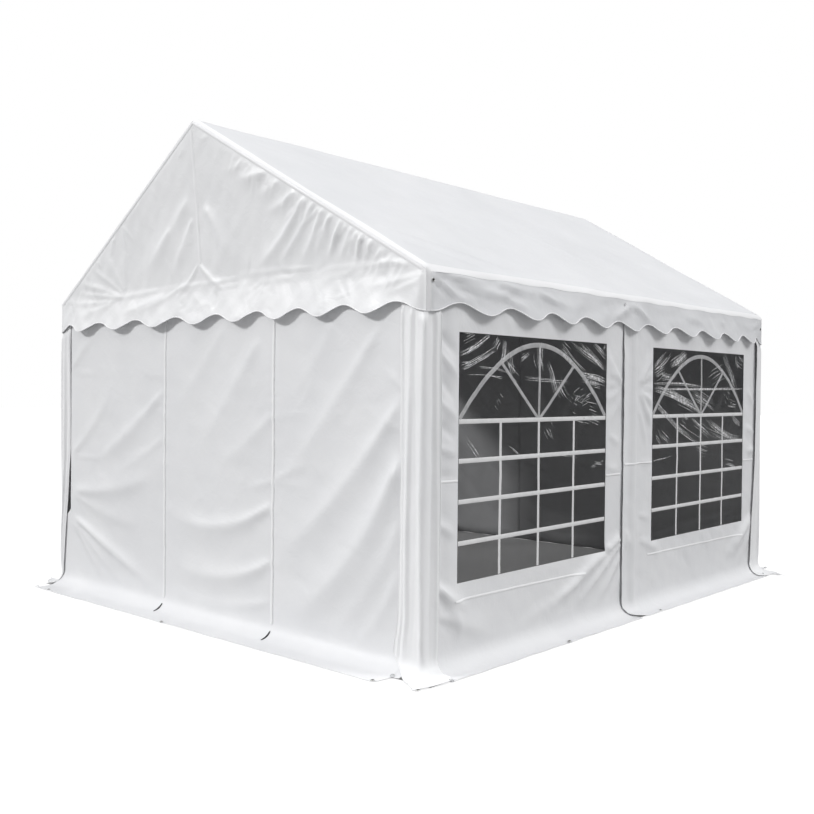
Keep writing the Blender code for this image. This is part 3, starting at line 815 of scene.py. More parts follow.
def corner_reach(normal_x, normal_q):
    """How far the flap reaches in this direction, so that its outline is a square corner, slightly round."""
    to_front = (FRONT_REACH + COVER_FLAP_OVER) / np.maximum(np.abs(normal_q), 1e-3)
    to_side = (SIDE_REACH + COVER_FLAP_OVER) / np.maximum(np.abs(normal_x), 1e-3)
    return (to_front ** -CORNER_POWER + to_side ** -CORNER_POWER) ** (-1 / CORNER_POWER) - COVER_FLAP_OVER


def add_cover(corner, kind, turned, strength, seed):
    """The strip of sheet round a corner post, with upright folds and a flap of its own."""
    mirror, front_width, side_width, front_round, folds = COVERS[kind]
    # The strip's plan round the post is (x, distance to the front of the middle)
    plan = RoundedPath(((HALF_WIDTH - front_width, FRONT_FACE), (SIDE_FACE, FRONT_FACE),
                        (SIDE_FACE, HALF_LENGTH - side_width)), COVER_RADIUS, 600)
    run = spaced(0.0, plan.length, step=COVER_STEP)
    _, _, normal_x, normal_q = plan.at(run)
    shares = 1 - (1 - np.clip((run + 0.004) / front_round, 0, 1)) ** 1.6
    shares = np.where(normal_x > 0.5, 1 - (1 - round_share(plan.length - run + 0.01, 0.06)) * 0.5, shares)
    lengths = flap_run(corner_reach(normal_x, normal_q)) * shares
    b = np.stack([wall_heights(length) for length in lengths], axis=1)
    level = np.broadcast_to(run, b.shape)
    left = plan.length - level
    height = COVER_BULGE * smooth(level / 0.14) * smooth((front_width + 0.012 - level) / 0.022)
    for centre, width, size in folds:
        wander = 0.007 * np.sin(b * 2.3 + centre * 60)
        fold = size * strength * bell(level - centre - wander, width)
        height = height + fold * (0.75 + 0.25 * np.sin(b * 3.1 + centre * 90))
    top = smooth((COVER_TOP - COVER_TOP_DIP * bell(level - front_width, 0.06) - b) / 0.06)
    height = height * smooth(b / 0.2) * top
    height = height + ripple(level * 3, b, seed, 0.35, 0.0012) * smooth(b / FOLDS_FADE)
    height = height + COVER_SIDE_LIFT * bell(left, 0.035) * (0.4 + 0.6 * smooth(b / 0.2)) * top
    height = height + COVER_FRONT_LIFT * bell(level, 0.02) * smooth((0.6 - b) / 0.3) * smooth(b / 0.15)
    height = height + COVER_LIFT + flap_swell(level, b, seed)
    moved = level + front_lean(kind, b) * smooth(1 - level / 0.2) + side_lean(kind, b) * smooth(1 - left / 0.1)
    x, q, normal_x, normal_q = plan.at(moved)
    out, up = wall_section(b, height)
    points = np.stack([mirror * (x + normal_x * out), -(q + normal_q * out), up], axis=-1)
    node = f"corner_cover_{corner}"
    # The corner cover takes the lighter PVC copy: painted light.
    cover = add_sheet(f"{node}_sheet", points, (node,), PVC_LIT_COPY, turned=turned)
    hem = add_hem(f"{node}_hem", [np.concatenate([points[:, 0], points[-1], points[:, -1][::-1]])], turned)


# Windows

BAR_WIDTH = 0.024
THIN_BAR, ARCH_WIDTH = BAR_WIDTH * 0.85, BAR_WIDTH * 1.1
LEVEL_LIFT, UPRIGHT_LIFT, ARCH_LIFT, SPOKE_LIFT = 0.0014, 0.0011, 0.0009, 0.0008
BAR_HEIGHTS = (0.356, 0.514, 0.677, 0.843)
QUARTERS = (0.25, 0.5, 0.75)
ARCH_BASE = 0.356
ARCH_TOP = 0.03
FILM_DEPTH = 0.0022
FILM_LAP = 0.018
FILM_RELIEF = 0.3


def film_field(a, b, window, seed):
    """Slack folds of the film, fading at the welded edges."""
    low, high = window
    u = (a - low) / (high - low)
    v = (WINDOW_TOP - b) / (WINDOW_TOP - WINDOW_BOTTOM)
    hold = smooth(u / 0.08) * smooth((1 - u) / 0.08) * smooth(v / 0.06) * smooth((1 - v) / 0.06)
    top = WINDOW_TOP
    folds = fold_table(
        (low, top, low + 0.65, top - 0.50, 0.035, 0.009, 0.03),
        (low, top - 0.02, low + 0.35, top - 0.62, 0.035, 0.008, -0.02),
        (high, top, high - 0.60, top - 0.52, 0.035, 0.009, -0.03),
        (high, top - 0.02, high - 0.30, top - 0.65, 0.035, 0.008, 0.02),
        (low + 0.55, top, low + 0.95, top - 0.60, 0.03, 0.007),
        (low + 0.1, top - 0.65, high - 0.2, top - 0.95, 0.05, 0.006, -0.03))
    uneven = ripple(a, b, seed, 0.5, 0.0007) + ripple(a, b, seed + 1, 0.14, 0.0002)
    return hold * (folds_at(folds, a, b) * FILM_RELIEF + uneven)


def film_place(window, strength, seed):
    """Where the film lies, just behind the side wall's sheet."""
    def place(a, b, lift):
        height = side_field(a, b, strength, seed) + film_field(a, b, window, seed) + lift - FILM_DEPTH
        return np.stack([SIDE_FACE + height, a, b], axis=-1)
    return place


def window_bars(window, place):
    """The bars printed on the film: levels and uprights, and an arch with its spokes."""
    low, high = window

    def at(u, v):
        return (low + (high - low) * u, WINDOW_TOP - (WINDOW_TOP - WINDOW_BOTTOM) * v)

    def arch(u):
        return at(u, ARCH_TOP + (ARCH_BASE - ARCH_TOP) * (2 * u - 1) ** 2)

    levels = [ribbon_grid([at(0.004, v), at(0.996, v)], BAR_WIDTH, LEVEL_LIFT, place) for v in BAR_HEIGHTS]
    uprights = [ribbon_grid([at(u, ARCH_BASE), at(u, 0.997)], THIN_BAR, UPRIGHT_LIFT, place) for u in QUARTERS]
    spokes = [ribbon_grid([at(0.5, ARCH_BASE), arch(u)], THIN_BAR, SPOKE_LIFT, place) for u in QUARTERS]
    curve = [arch(u) for u in np.linspace(0.008, 0.992, 41)]
    return levels + uprights, spokes + [ribbon_grid(curve, ARCH_WIDTH, ARCH_LIFT, place)]


# Crinkles, drawn as white strands that are partly whitened film and partly painted highlight: spread across,
# number of strands, their length as a share, then places as shares of the window
STREAKS = {
    "short": (
        (0.004, 8, 0.8, (0.18, 0.006), (0.08, 0.062), (0.008, 0.092)),
        (0.010, 10, 0.6, (0.10, 0.010), (0.02, 0.045)),
        (0.005, 9, 0.7, (0.214, 0.059), (0.08, 0.119), (0.013, 0.142)),
        (0.006, 8, 0.6, (0.231, 0.010), (0.200, 0.055)),
        (0.005, 11, 0.7, (0.270, 0.021), (0.265, 0.09), (0.248, 0.115)),
        (0.005, 7, 0.6, (0.298, 0.068), (0.309, 0.137), (0.326, 0.163)),
        (0.006, 7, 0.6, (0.265, 0.11), (0.315, 0.15), (0.36, 0.183)),
        (0.006, 6, 0.7, (0.427, 0.07), (0.371, 0.103)),
        (0.006, 14, 0.6, (0.505, 0.013), (0.499, 0.083), (0.522, 0.143)),
        (0.006, 15, 0.5, (0.55, 0.106), (0.585, 0.157), (0.60, 0.20), (0.622, 0.231), (0.684, 0.276)),
        (0.005, 8, 0.6, (0.639, 0.175), (0.661, 0.215), (0.706, 0.26)),
        (0.007, 18, 0.6, (0.65, 0.024), (0.706, 0.069), (0.829, 0.147)),
        (0.003, 10, 0.8, (0.717, 0.002), (0.818, 0.05), (0.907, 0.086), (0.995, 0.126)),
        (0.004, 10, 0.7, (0.784, 0.002), (0.862, 0.045), (0.93, 0.088), (0.995, 0.125)),
        (0.004, 8, 0.7, (0.896, 0.002), (0.952, 0.04), (0.995, 0.066)),
        (0.003, 4, 0.7, (0.975, 0.03), (0.995, 0.005)),
        (0.006, 12, 0.6, (0.784, 0.148), (0.885, 0.16), (0.995, 0.18)),
        (0.006, 7, 0.6, (0.80, 0.168), (0.92, 0.18), (0.95, 0.19)),
        (0.0015, 3, 0.9, (0.382, 0.175), (0.527, 0.18), (0.706, 0.186)),
        (0.012, 14, 0.3, (0.885, 0.222), (0.795, 0.255), (0.75, 0.285)),
        (0.014, 16, 0.2, (0.70, 0.27), (0.78, 0.30), (0.94, 0.33)),
        (0.012, 14, 0.2, (0.80, 0.33), (0.95, 0.37)),
        (0.008, 5, 0.6, (0.226, 0.25), (0.26, 0.28)),
        (0.010, 8, 0.3, (0.01, 0.15), (0.20, 0.15), (0.33, 0.18)),
        (0.004, 4, 0.7, (0.04, 0.42), (0.13, 0.52)),
        (0.004, 4, 0.6, (0.29, 0.46), (0.40, 0.52)),
        (0.005, 7, 0.4, (0.88, 0.575), (0.99, 0.585)),
        (0.006, 6, 0.4, (0.54, 0.37), (0.60, 0.45)),
        (0.003, 3, 0.6, (0.56, 0.50), (0.80, 0.53)),
    ),
    "long": (
        (0.005, 8, 0.7, (0.12, 0.008), (0.057, 0.06), (0.005, 0.094)),
        (0.006, 9, 0.6, (0.19, 0.008), (0.10, 0.075), (0.01, 0.12)),
        (0.005, 14, 0.7, (0.33, 0.012), (0.25, 0.056), (0.17, 0.087)),
        (0.006, 10, 0.6, (0.357, 0.023), (0.284, 0.067), (0.203, 0.095)),
        (0.008, 8, 0.5, (0.01, 0.14), (0.12, 0.10)),
        (0.005, 10, 0.6, (0.073, 0.155), (0.19, 0.145)),
        (0.003, 5, 0.8, (0.005, 0.184), (0.28, 0.182), (0.51, 0.198)),
        (0.002, 7, 0.8, (0.005, 0.207), (0.33, 0.212), (0.77, 0.207), (0.995, 0.203)),
        (0.005, 20, 0.6, (0.008, 0.213), (0.154, 0.241), (0.332, 0.28), (0.446, 0.32), (0.494, 0.338)),
        (0.004, 10, 0.6, (0.14, 0.228), (0.284, 0.26), (0.365, 0.285)),
        (0.009, 18, 0.5, (0.365, 0.214), (0.527, 0.262), (0.656, 0.31)),
        (0.004, 14, 0.5, (0.008, 0.28), (0.089, 0.33), (0.186, 0.385), (0.284, 0.43), (0.381, 0.48), (0.62, 0.55)),
        (0.005, 7, 0.6, (0.04, 0.29), (0.15, 0.36)),
        (0.007, 9, 0.6, (0.284, 0.353), (0.365, 0.39)),
        (0.006, 11, 0.6, (0.397, 0.37), (0.494, 0.41), (0.608, 0.465)),
        (0.006, 18, 0.5, (0.543, 0.378), (0.705, 0.445), (0.835, 0.487), (0.964, 0.507)),
        (0.006, 8, 0.5, (0.54, 0.42), (0.77, 0.475), (0.97, 0.50)),
        (0.004, 8, 0.6, (0.835, 0.365), (0.98, 0.44)),
        (0.003, 9, 0.7, (0.754, 0.005), (0.802, 0.075), (0.851, 0.133), (0.964, 0.30)),
        (0.006, 10, 0.5, (0.80, 0.09), (0.85, 0.15), (0.87, 0.2)),
        (0.004, 8, 0.6, (0.90, 0.007), (0.916, 0.054), (0.995, 0.075)),
        (0.004, 8, 0.6, (0.916, 0.005), (0.96, 0.03), (0.995, 0.05)),
        (0.014, 12, 0.4, (0.575, 0.18), (0.705, 0.13), (0.77, 0.12)),
        (0.012, 14, 0.25, (0.77, 0.20), (0.84, 0.26)),
        (0.007, 10, 0.4, (0.80, 0.296), (0.92, 0.31)),
        (0.005, 7, 0.6, (0.04, 0.44), (0.10, 0.50)),
        (0.005, 6, 0.6, (0.09, 0.44), (0.17, 0.49)),
        (0.005, 6, 0.5, (0.44, 0.53), (0.62, 0.58)),
        (0.006, 6, 0.5, (0.78, 0.64), (0.99, 0.68)),
        (0.003, 4, 0.6, (0.005, 0.59), (0.20, 0.57)),
    ),
}

STRAND_POINTS = 12
STRAND_STEP = 0.014
STRAND_LIFT = 0.0018


def strand_path(stops, begin, end, offset, wave_height):
    """A smooth curve through the stops, from one share of its run to another, moved aside and waving."""
    runs = np.linspace(0, 1, len(stops))
    share = np.linspace(begin, end, STRAND_POINTS)
    curve = np.column_stack([np.polyval(np.polyfit(runs, stops[:, axis], min(3, len(stops) - 1)), share)
                             for axis in (0, 1)])
    chord = unit(stops[-1] - stops[0])
    waving = offset + wave_height * np.sin(share * 8 + offset * 900)
    return curve + np.array([-chord[1], chord[0]]) * waving[:, None]


def window_streaks(window, kind, place, seed):
    """Bundles of fine bright strands in the film: whitened creases with painted highlight."""
    random = np.random.default_rng(seed)
    corner = np.array([window[0], WINDOW_TOP])
    size = np.array([window[1] - window[0], WINDOW_BOTTOM - WINDOW_TOP])
    inner, outer = corner + size * 0.004, corner + size * 0.996
    strands = []
    for spread, count, length, *stops in STREAKS[kind]:
        stops = corner + np.array(stops) * size
        for _ in range(count):
            share = min(1.0, length * random.uniform(0.4, 1.7))
            begin = random.uniform(0, 1 - share)
            path = strand_path(stops, begin, begin + share, random.normal(0, spread * 3.2),
                               random.normal(0, spread * 0.3))
            path = np.clip(path, np.minimum(inner, outer), np.maximum(inner, outer))
            width = random.uniform(0.0014, 0.0040)
            strands.append(ribbon_grid(path, width, STRAND_LIFT, place, STRAND_STEP, True, STRAND))
    return strands


# Welds of a side wall: the seam under its window, and the two cross seams beside it
SEAM_WIDTH, SEAM_LIFT = 0.014, 0.002
SEAM_DROP = (0.085, 0.1)
SEAM_ENDS = {"short": (0.05, 0.26), "long": (0.05, 0.05)}
CROSS_HEIGHTS = (0.955, 0.9)
LONG_ROUND = 0.17


def add_bay(corner, kind, turned, strength, seed):
    """A side wall sheet with its film window, the welds round it and its hem."""
    window = WINDOW[kind]
    low, high = SHORT_BAY if kind == "short" else LONG_BAY
    place = side_place(kind, strength, seed)
    length = flap_run(SIDE_REACH)
    if kind == "short":
        across = spaced(low - COVER_LAP, *window, high, high + LAP, step=STEP)
        shares = np.ones(len(across))
    else:
        across = spaced(low, *window, high, step=STEP)
        shares = 1 - (1 - round_share(across - low + 0.004, LONG_ROUND)) * 0.92
    b = np.stack([wall_heights(length * share, (WINDOW_TOP, WINDOW_BOTTOM)) for share in shares], axis=1)
    a = np.broadcast_to(across, b.shape)
    points = place(a, b, 0.0)
    middle_a, middle_b = ((values[:-1, :-1] + values[1:, 1:]) / 2 for values in (a, b))
    opening = (middle_a > window[0]) & (middle_a < window[1])
    opening = opening & (middle_b > WINDOW_BOTTOM) & (middle_b < WINDOW_TOP)
    node = f"side_wall_{corner}"
    bay = add_sheet(f"{node}_sheet", points, (node,), keep=~opening, turned=turned)
    edge = points[-1] if kind == "short" else np.concatenate([points[:, 0], points[-1]])
    hem = add_hem(f"{node}_hem", [edge], turned)
    seams = [[(window[0] - SEAM_ENDS[kind][0], WINDOW_BOTTOM - SEAM_DROP[0]),
              (window[1] - SEAM_ENDS[kind][1], WINDOW_BOTTOM - SEAM_DROP[1])],
             [(low + 0.02, CROSS_HEIGHTS[0]), (window[0] - 0.004, CROSS_HEIGHTS[0])],
             [(window[1] + 0.004, CROSS_HEIGHTS[1]), (high - 0.02, CROSS_HEIGHTS[1])]]
    seams = [ribbon_grid(path, SEAM_WIDTH, SEAM_LIFT, place) for path in seams]
    weld = add_ribbons(f"{node}_welds", seams, HEM_AND_HIGHLIGHT, turned)
    add_film(f"window_{corner}", kind, turned, film_place(window, strength, seed), seed)


def add_film(node, kind, turned, place, seed):
    """The film behind a window opening, with its printed bars and its crinkles, whose white is partly painted
    highlight.
    """
    low, high = WINDOW[kind]
    film_a = spaced(low - FILM_LAP, low, high, high + FILM_LAP, step=FILM_STEP)
    film_b = spaced(WINDOW_TOP + FILM_LAP, WINDOW_TOP, WINDOW_BOTTOM, WINDOW_BOTTOM - FILM_LAP, step=FILM_STEP)
    grid_b, grid_a = np.meshgrid(film_b, film_a, indexing="ij")
    film = add_sheet(f"{node}_film", place(grid_a, grid_b, 0.0), (node,), FILM, turned=turned, thickness=0.0)
    bars, arch_bars = window_bars((low, high), place)
    strands = window_streaks((low, high), kind, place, seed)
    extras = [add_ribbons(f"{node}_{kind}", ribbons, material, turned) for kind, ribbons, material in (
        ("bars", bars, BAR), ("arch", arch_bars, ARCH_BAR), ("crinkles", strands, CRINKLE_WHITENING_AND_HIGHLIGHT))]


# Roof cover: its path over both slopes ends below the scallops, and its ends turn down over the rafters

ROOF_TAIL = 0.3
TAIL_POINTS = 9
ROOF_OUT, EAVE_LIFT, RIDGE_LIFT = 0.001, 0.004, 0.006
RAKE_RADIUS = 0.03
RAKE_LAP = 0.006
RAKE_POINTS = 5
CLEAR, LAP_CLEAR = 0.002, 0.0006
LAP_SHARES = (0.4, 1.0)
EAVE_CORNER = (HALF_WIDTH + ROOF_OUT, EAVE_HEIGHT + EAVE_LIFT)
ROOF_PATH = RoundedPath(((-EAVE_CORNER[0], EAVE_HEIGHT - ROOF_TAIL), (-EAVE_CORNER[0], EAVE_CORNER[1]),
                         (0.0, RIDGE_HEIGHT + RIDGE_LIFT), EAVE_CORNER, (EAVE_CORNER[0], EAVE_HEIGHT - ROOF_TAIL)),
                        0.042, 3000)
# Lighter strips over the rounded eaves and rakes paint their highlight; these are how far they stand off the
# sheet.
HIGHLIGHT_BAND_LIFT, HIGHLIGHT_BAND_EDGE_LIFT = 0.0012, 0.0003
RAKE_ROWS = RAKE_POINTS + len(LAP_SHARES)

# The side valance: how far its lower edge stands off, how its scallops curl, and the strength of its folds
VALANCE_FLARE = 0.042
SIDE_CURL = 0.007
VALANCE_RELIEF = 1.9


def gable_lean(z):
    """How far the gable leans out beyond the cover's length at this height."""
    return (RIDGE_END - HALF_LENGTH) * np.clip((z - GABLE_FOLD) / (RIDGE_HEIGHT - GABLE_FOLD), 0, None)


def side_valance(y, z):
    """How far the side valance stands off: more at its lower edge and between the posts."""
    hang = np.clip((EAVE_HEIGHT - z) / 0.2, 0, 1)
    bays = 0.5 + 0.5 * np.abs(np.sin(math.pi * y / 2.0))
    corners = 0.35 * smooth((2.02 - np.abs(y)) / 0.03) + 0.65 * smooth((2.0 - np.abs(y)) / 0.2)
    folds = folds_at(VALANCE_FOLDS, y, z) * VALANCE_RELIEF + folds_at(VALANCE_CRUMPLES, y, z)
    folds = folds + ripple(y, z * 2.2, 41, 0.22, 0.0022)
    loose = (SIDE_CURL * wave(y, SIDE_LOWS) * hang + folds * smooth(hang * 6)) * smooth((2.02 - np.abs(y)) / 0.04)
    return VALANCE_FLARE * bays * hang ** 1.2 * corners + loose


def roof_field(x, y, z):
    """The slope sags a little between rafters; the valance is loose."""
    front_y = np.where(x > 0, y, -y)
    slope = smooth((HALF_WIDTH - 0.02 - np.abs(x)) / 0.1)
    sag = -0.007 * np.sin(math.pi * y / 2.02) ** 2 * smooth(np.abs(x) / 0.3)
    uneven = ripple(x, y, 7, 0.9, 0.0022) + ripple(x, y, 8, 0.3, 0.0005)
    creases = folds_at(ROOF_CREASES, np.abs(x), front_y)
    eave = 0.0025 * np.sin(y * 5.1 + np.sin(y * 3.0)) * smooth((np.abs(x) - 1.6) / 0.1)
    return (sag + uneven + creases) * slope + eave + np.where(z < EAVE_HEIGHT, side_valance(front_y, z), 0.0)


def sheet_normals(points):
    """Outward normals of a grid of points."""
    normals = np.cross(np.gradient(points, axis=0), np.gradient(points, axis=1))
    normals /= np.linalg.norm(normals, axis=2)[:, :, None]
    return normals * np.sign(np.sum(normals * (points - np.array(TENT_MIDDLE)), axis=2, keepdims=True))


def tail_depth(share, inward, side):
    """Depth of the valance's edge where a row of the roof ends, on its left (-1) or right (1) side."""
    if not inward:
        return wave_depth(share * HALF_LENGTH * side, SIDE_LOWS)
    lows = FRONT_LOWS if side * share < 0 else tuple(-low for low in FRONT_LOWS[::-1])
    return wave_depth(side * (HALF_WIDTH - inward), lows)


def add_roof():
    """One sheet over both slopes and both side valances, turned down over the rafters at its ends."""
    total = ROOF_PATH.length
    slope = spaced(ROOF_TAIL, total / 2, total - ROOF_TAIL, step=ROOF_STEP)
    tail = np.arange(TAIL_POINTS) / TAIL_POINTS
    # A row is the share of the half length, then how far it is turned inward and forward, and its clearance
    edge = [(RAKE_RADIUS * (1 - math.cos(turn)), RAKE_RADIUS * math.sin(turn), CLEAR)
            for turn in np.linspace(0, math.pi / 2, RAKE_POINTS + 1)[1:]]
    edge += [(RAKE_RADIUS + RAKE_LAP * share, RAKE_RADIUS, LAP_CLEAR) for share in LAP_SHARES]
    rows = [(-1, *turned) for turned in edge[::-1]]
    rows += [(share, 0.0, 0.0, CLEAR) for share in spaced(-1.0, 0.0, 1.0, step=ROOF_STEP / HALF_LENGTH)]
    rows += [(1, *turned) for turned in edge]
    grid = []
    for share, inward, forward, clear in rows:
        left = ROOF_TAIL - tail_depth(share, inward, -1) * (1 - tail)
        right = total - ROOF_TAIL + tail_depth(share, inward, 1) * (1 - tail[::-1])
        x, z, out_x, out_z = ROOF_PATH.at(np.concatenate([left, slope, right]))
        y = share * (HALF_LENGTH + gable_lean(z - inward * out_z) + clear - RAKE_RADIUS + forward)
        height = -inward if inward else roof_field(x, y, z)
        grid.append(np.stack([x + out_x * height, y, z + out_z * height], axis=-1))
    points = np.stack(grid)
    # The roof sheet takes the darker PVC copy: painted shade.
    roof = add_sheet("roof_cover_sheet", points, ("roof_left", "roof_right"), PVC_SHADED_COPY)
    hems = add_hem("roof_cover_hems", [points[:, 0], points[:, -1]], radius=HEM_RADIUS)
    # Painted highlight: lighter strips along both rakes and both eaves.
    lifts = np.full(len(points), HIGHLIGHT_BAND_LIFT)
    lifts[[0, RAKE_ROWS, -RAKE_ROWS - 1, -1]] = HIGHLIGHT_BAND_EDGE_LIFT
    raised = points + sheet_normals(points) * lifts[:, None, None]
    between = raised[RAKE_ROWS:-RAKE_ROWS]
    eaves = (TAIL_POINTS - 1, TAIL_POINTS + len(slope))
    bands = [raised[:RAKE_ROWS + 1], raised[-RAKE_ROWS - 1:], between[:, eaves[0] - 1:eaves[0] + 2],
             between[:, eaves[1] - 2:eaves[1] + 1]]
    weld = add_ribbons("roof_cover_highlight_bands", bands, HEM_AND_HIGHLIGHT)


# Gable: its edges, where the rake holds it, the strength of its folds, its valance's flare, and the seam that
# runs down from the ridge

GABLE_INSET = 0.004
GABLE_TOP_DROP = 0.012
HANG_POINTS = 15
RAKE_HELD = 0.034
RAKE_TILT = math.radians(29.8)
GABLE_RELIEF = 1.5
BAND_RELIEF = 0.7
GABLE_FLARE, GABLE_CURL = 0.042, 0.006
GABLE_SEAM = ((-0.02, 2.93), (-0.055, 2.16))
GABLE_SEAM_WIDTH, GABLE_SEAM_LIFT = 0.024, 0.0014


def varied(folds, seed):
    """The same folds, each somewhat wider or narrower, higher or lower, and ending elsewhere."""
    random = np.random.default_rng(seed)
    result = []
    for fold in folds:
        end = (fold.end[0] + random.normal(0, 0.03), fold.end[1] + random.normal(0, 0.02))
        width, height = fold.width * random.uniform(0.7, 1.3), fold.height * random.uniform(0.35, 1.25)
        result.append(fold._replace(end=end, width=width, height=height))
    return result


def rake_puckers(count, seed):
    """Short, sharp folds where the gable sheet is pulled over the rafter."""
    random = np.random.default_rng(seed)
    folds = []
    for _ in range(count):
        x = random.uniform(0.35, 1.6)
        z = RIDGE_HEIGHT - 0.045 - x * ROOF_RISE / HALF_WIDTH
        angle, length = math.radians(random.uniform(212, 262)), random.uniform(0.06, 0.22)
        side = 1 if random.random() < 0.8 else -1
        end = (side * (x + length * math.cos(angle)), z + length * math.sin(angle))
        folds.append(Fold((side * x, z), end, random.uniform(0.008, 0.016), random.uniform(0.002, 0.005)))
    return folds


def gable_place(strength, seed):
    """Where the gable sheet lies: held along the rake, loose lower down, and flared at its valance."""
    pulled = varied(RAKE_FOLDS, seed) + varied(GABLE_FOLDS, seed + 1) + rake_puckers(60, seed + 2)

    def place(x, z, lift):
        below_rake = (RIDGE_HEIGHT - np.abs(x) * ROOF_RISE / HALF_WIDTH - z) * math.cos(RAKE_TILT)
        free = smooth((below_rake - RAKE_HELD) / 0.014) * smooth((1.712 - np.abs(x)) / 0.03)
        folds = folds_at(pulled, x, z) * GABLE_RELIEF + folds_at(BAND_FOLDS, x, z) * BAND_RELIEF
        height = (folds + folds_at(BAND_CRUMPLES, x, z)) * strength
        hang = np.clip((2.05 - z) / 0.24, 0, 1)
        corners = 0.22 + 0.78 * smooth((1.72 - np.abs(x)) / 0.3)
        flare = (GABLE_FLARE + GABLE_CURL * wave(x, FRONT_LOWS)) * hang * corners
        uneven = ripple(x, z, seed, 0.5, 0.0022) + ripple(x, z, seed + 1, 0.14, 0.0012 + 0.001 * smooth(hang * 3))
        off = (height + flare + uneven + 0.001) * free + lift
        return np.stack([x, -(HALF_LENGTH + gable_lean(z)) - off, z], axis=-1)
    return place


def add_gable(end, turned, strength, seed):
    """The gable triangle with its valance; its upper edge lies under the roof cover's turned edge."""
    place = gable_place(strength, seed)
    half = HALF_WIDTH - GABLE_INSET
    x = spaced(-half, 0.0, half, step=GABLE_STEP)
    bottom = EAVE_HEIGHT - wave_depth(x, FRONT_LOWS)
    hang = [bottom + (GABLE_FOLD - bottom) * share for share in np.linspace(0, 1, HANG_POINTS)]
    rise = [np.full(len(x), z) for z in spaced(GABLE_FOLD, RIDGE_HEIGHT, step=GABLE_STEP)[1:]]
    z = np.stack(hang + rise)
    points = place(np.broadcast_to(x, z.shape), z, 0.0)
    apex = (0.0, 0.0, RIDGE_HEIGHT - GABLE_TOP_DROP)
    pitch = math.atan2(ROOF_RISE, HALF_WIDTH)
    cuts = [(apex, (side * math.sin(pitch), 0.0, math.cos(pitch))) for side in (-1, 1)]
    # The gable takes the lighter PVC copy: painted light.
    gable = add_sheet(f"gable_{end}_sheet", points, (f"gable_{end}",), PVC_LIT_COPY, turned=turned, cuts=cuts)
    hem = add_hem(f"gable_{end}_hem", [points[0]], turned, HEM_RADIUS)
    seam = ribbon_grid(GABLE_SEAM, GABLE_SEAM_WIDTH, GABLE_SEAM_LIFT, place)
    weld = add_ribbons(f"gable_{end}_seam", [seam], HEM_AND_HIGHLIGHT, turned)


# Eyelets and rings: (y, z) on the side valance, places on the flaps, places and axes of the rings, and then
# the radius and the wire's radius of each kind

VALANCE_EYELETS = ((-1.985, 1.948), (1.975, 1.915))
FLAP_EYELETS = ((1.553, -2.205, 0.0075), (1.829, -2.187, 0.0125), (-1.562, -2.203, 0.0075), (1.829, 0.19, 0.0085),
                (-0.2, -2.212, 0.0075), (1.835, -0.9, 0.0075))
PEG_RINGS = (((1.588, -2.10, 0.014), (0.3, -0.4, 1)), ((1.842, -1.955, 0.012), (0.3, 0.2, 1)),
             ((-1.70, -2.215, 0.012), (0.2, -0.3, 1)), ((1.80, 1.93, 0.012), (0.3, 0.2, 1)))
EYELET_SIZE, HOLE_SIZE, PEG_RING_SIZE = (0.0095, 0.0026), (0.0035, 0.0035), (0.011, 0.0018)


def ring(centre, axis, radius, wire, around=20, section=8):
    """Points of a round wire ring about an axis."""
    axis = Vector(axis).normalized()
    first = axis.orthogonal().normalized()
    second = axis.cross(first)
    rows = []
    for turn in np.linspace(0, math.tau, around + 1):
        spoke = first * math.cos(turn) + second * math.sin(turn)
        rows.append([Vector(centre) + spoke * (radius + wire * math.cos(t)) + axis * wire * math.sin(t)
                     for t in np.linspace(0, math.tau, section + 1)])
    return np.array(rows)


def add_eyelets(end, turned):
    """Metal eyelets in the valance and the flaps, and the rings that peg them down."""
    places = [((HALF_WIDTH + 0.0025 + float(side_valance(y, z)), y, z), (1, 0, 0)) for y, z in VALANCE_EYELETS]
    places += [(place, (0, 0, 1)) for place in FLAP_EYELETS]
    # The eyelet holes are near-black rings: painted shade in the holes.
    for name, where, size, material in (("eyelets", places, EYELET_SIZE, BRASS),
                                        ("eyelet_holes", places, HOLE_SIZE, DARK_TAPE_AND_SHADE),
                                        ("peg_rings", PEG_RINGS, PEG_RING_SIZE, STEEL)):
        add_ribbons(f"{name}_{end}", [ring(*place, *size) for place in where], material, turned)


# Assembly: the rear half is the front half turned half round, with fainter folds

REAR_STRENGTH = 0.85


def build_end(end, left, right, turned, strength, seed):
    """One gable end: gable sheet, wall and corner covers."""
    add_gable(end, turned, strength, seed)
    add_front(end, left, right, turned, strength, seed + 10)
    add_cover(f"{end}_{right}", "wide", turned, strength, seed + 20)
    add_cover(f"{end}_{left}", "narrow", turned, strength, seed + 30)


build_end("front", "left", "right", False, 1.0, 100)
build_end("rear", "right", "left", True, REAR_STRENGTH, 200)
add_bay("front_right", "short", False, 1.0, 300)
add_bay("rear_right", "long", False, 1.0, 310)
add_bay("rear_left", "short", True, REAR_STRENGTH, 320)
add_bay("front_left", "long", True, REAR_STRENGTH, 330)
add_roof()
add_eyelets("front", False)
add_eyelets("rear", True)

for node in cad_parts.values():
    if not node.hide_render:
        node.data.materials.clear()
        node.data.materials.append(STEEL)


# Floor, light and camera

FLOOR_SIZE = 120.0
# The floor glows white; the glow ends this far outside the walls and is dim within them, a painted shade under the
# tent, so that the floor looks dark through the windows
BESIDE, BEHIND, BEFORE = 0.105, 0.105, 0.07
INSIDE_SHADE_GLOW, WHITE_GLOW = 0.14, 0.8
LOW_LIGHT, HIGH_LIGHT = 0.08, 1.13


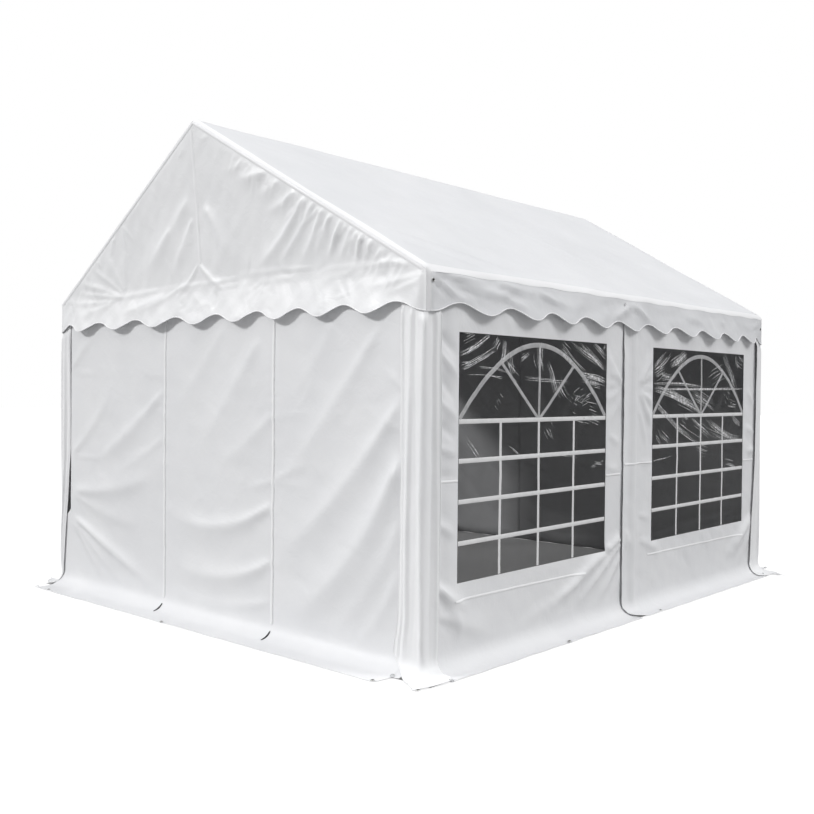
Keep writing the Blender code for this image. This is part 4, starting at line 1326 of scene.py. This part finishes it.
def add_floor():
    """A pale floor that shows white but throws back less light than that."""
    look = Look(bpy.data.materials.new("floor"))
    camera_ray = look.add("ShaderNodeLightPath").outputs["Is Camera Ray"]
    parts = look.add("ShaderNodeSeparateXYZ", {"Vector": look.place}).outputs
    beside = look.math("GREATER_THAN", look.math("ABSOLUTE", parts["X"], 0.0), SIDE_FACE + BESIDE)
    behind = look.math("GREATER_THAN", parts["Y"], FRONT_FACE + BEHIND)
    before = look.math("LESS_THAN", parts["Y"], -FRONT_FACE - BEFORE)
    outside = look.math("MAXIMUM", beside, look.math("MAXIMUM", behind, before))
    # The glow is dim inside the walls: painted shade under the tent.
    glow = look.math("MULTIPLY", camera_ray, look.map(outside, INSIDE_SHADE_GLOW, WHITE_GLOW, 0.0, 1.0))
    material = look.finish({
        "Base Color": look.color(look.noise(0.8), (0.33, 0.33, 0.33), (0.35, 0.35, 0.35)), "Roughness": 0.9,
        "Emission Color": (1.0, 1.0, 1.0, 1.0), "Emission Strength": glow})
    bpy.ops.mesh.primitive_plane_add(size=FLOOR_SIZE, location=(0.0, 0.0, 0.0))
    floor = bpy.context.active_object
    floor.name = "studio_floor"
    floor.data.materials.append(material)


def add_world():
    """An even studio: bright overhead, dimmer low down, and plain white where the camera sees it."""
    world = bpy.data.worlds.new("studio")
    bpy.context.scene.world = world
    look = Look(world, "Generated")
    parts = look.add("ShaderNodeSeparateXYZ", {"Vector": look.place}).outputs
    strength = look.map(parts["Z"], LOW_LIGHT, HIGH_LIGHT, 0.0, 1.0)
    light = look.add("ShaderNodeBackground", {"Color": (0.985, 0.99, 1.0, 1.0), "Strength": strength})
    seen = look.add("ShaderNodeBackground", {"Color": (1.0, 1.0, 1.0, 1.0), "Strength": 1.0})
    camera_ray = look.add("ShaderNodeLightPath").outputs["Is Camera Ray"]
    mix = look.add("ShaderNodeMixShader", {0: camera_ray, 1: light.outputs["Background"],
                                           2: seen.outputs["Background"]})
    output = next(item for item in look.tree.nodes if item.type == "OUTPUT_WORLD")
    look.feed(output, {"Surface": mix.outputs["Shader"]})


def add_sun(name, towards, strength, spread):
    light = bpy.data.lights.new(name, 'SUN')
    light.energy = strength
    light.angle = math.radians(spread)
    add_object(name, light).rotation_euler = Vector(towards).to_track_quat('Z', 'Y').to_euler()


CAMERA_PLACE = (4.8383, -5.642, 1.4048)
CAMERA_YAW = math.radians(41.841)
CAMERA_PITCH = math.radians(0.912)
CAMERA_ROLL = math.radians(0.514)
CAMERA_LENS = 43.68


def add_camera():
    data = bpy.data.cameras.new("camera")
    data.sensor_width = 36.0
    data.lens = CAMERA_LENS
    camera = add_object("camera", data)
    turns = ((CAMERA_YAW, 'Z'), (math.pi / 2 - CAMERA_PITCH, 'X'), (CAMERA_ROLL, 'Z'))
    yaw, pitch, roll = (Matrix.Rotation(angle, 4, axis) for angle, axis in turns)
    camera.matrix_world = Matrix.Translation(CAMERA_PLACE) @ yaw @ pitch @ roll
    bpy.context.scene.camera = camera


add_floor()
add_world()
add_sun("key", (-0.48, -0.74, 0.48), 1.67, 9)
add_sun("fill", (0.68, 0.32, 0.66), 1.28, 20)
add_camera()
bpy.context.scene.view_settings.view_transform = 'Standard'
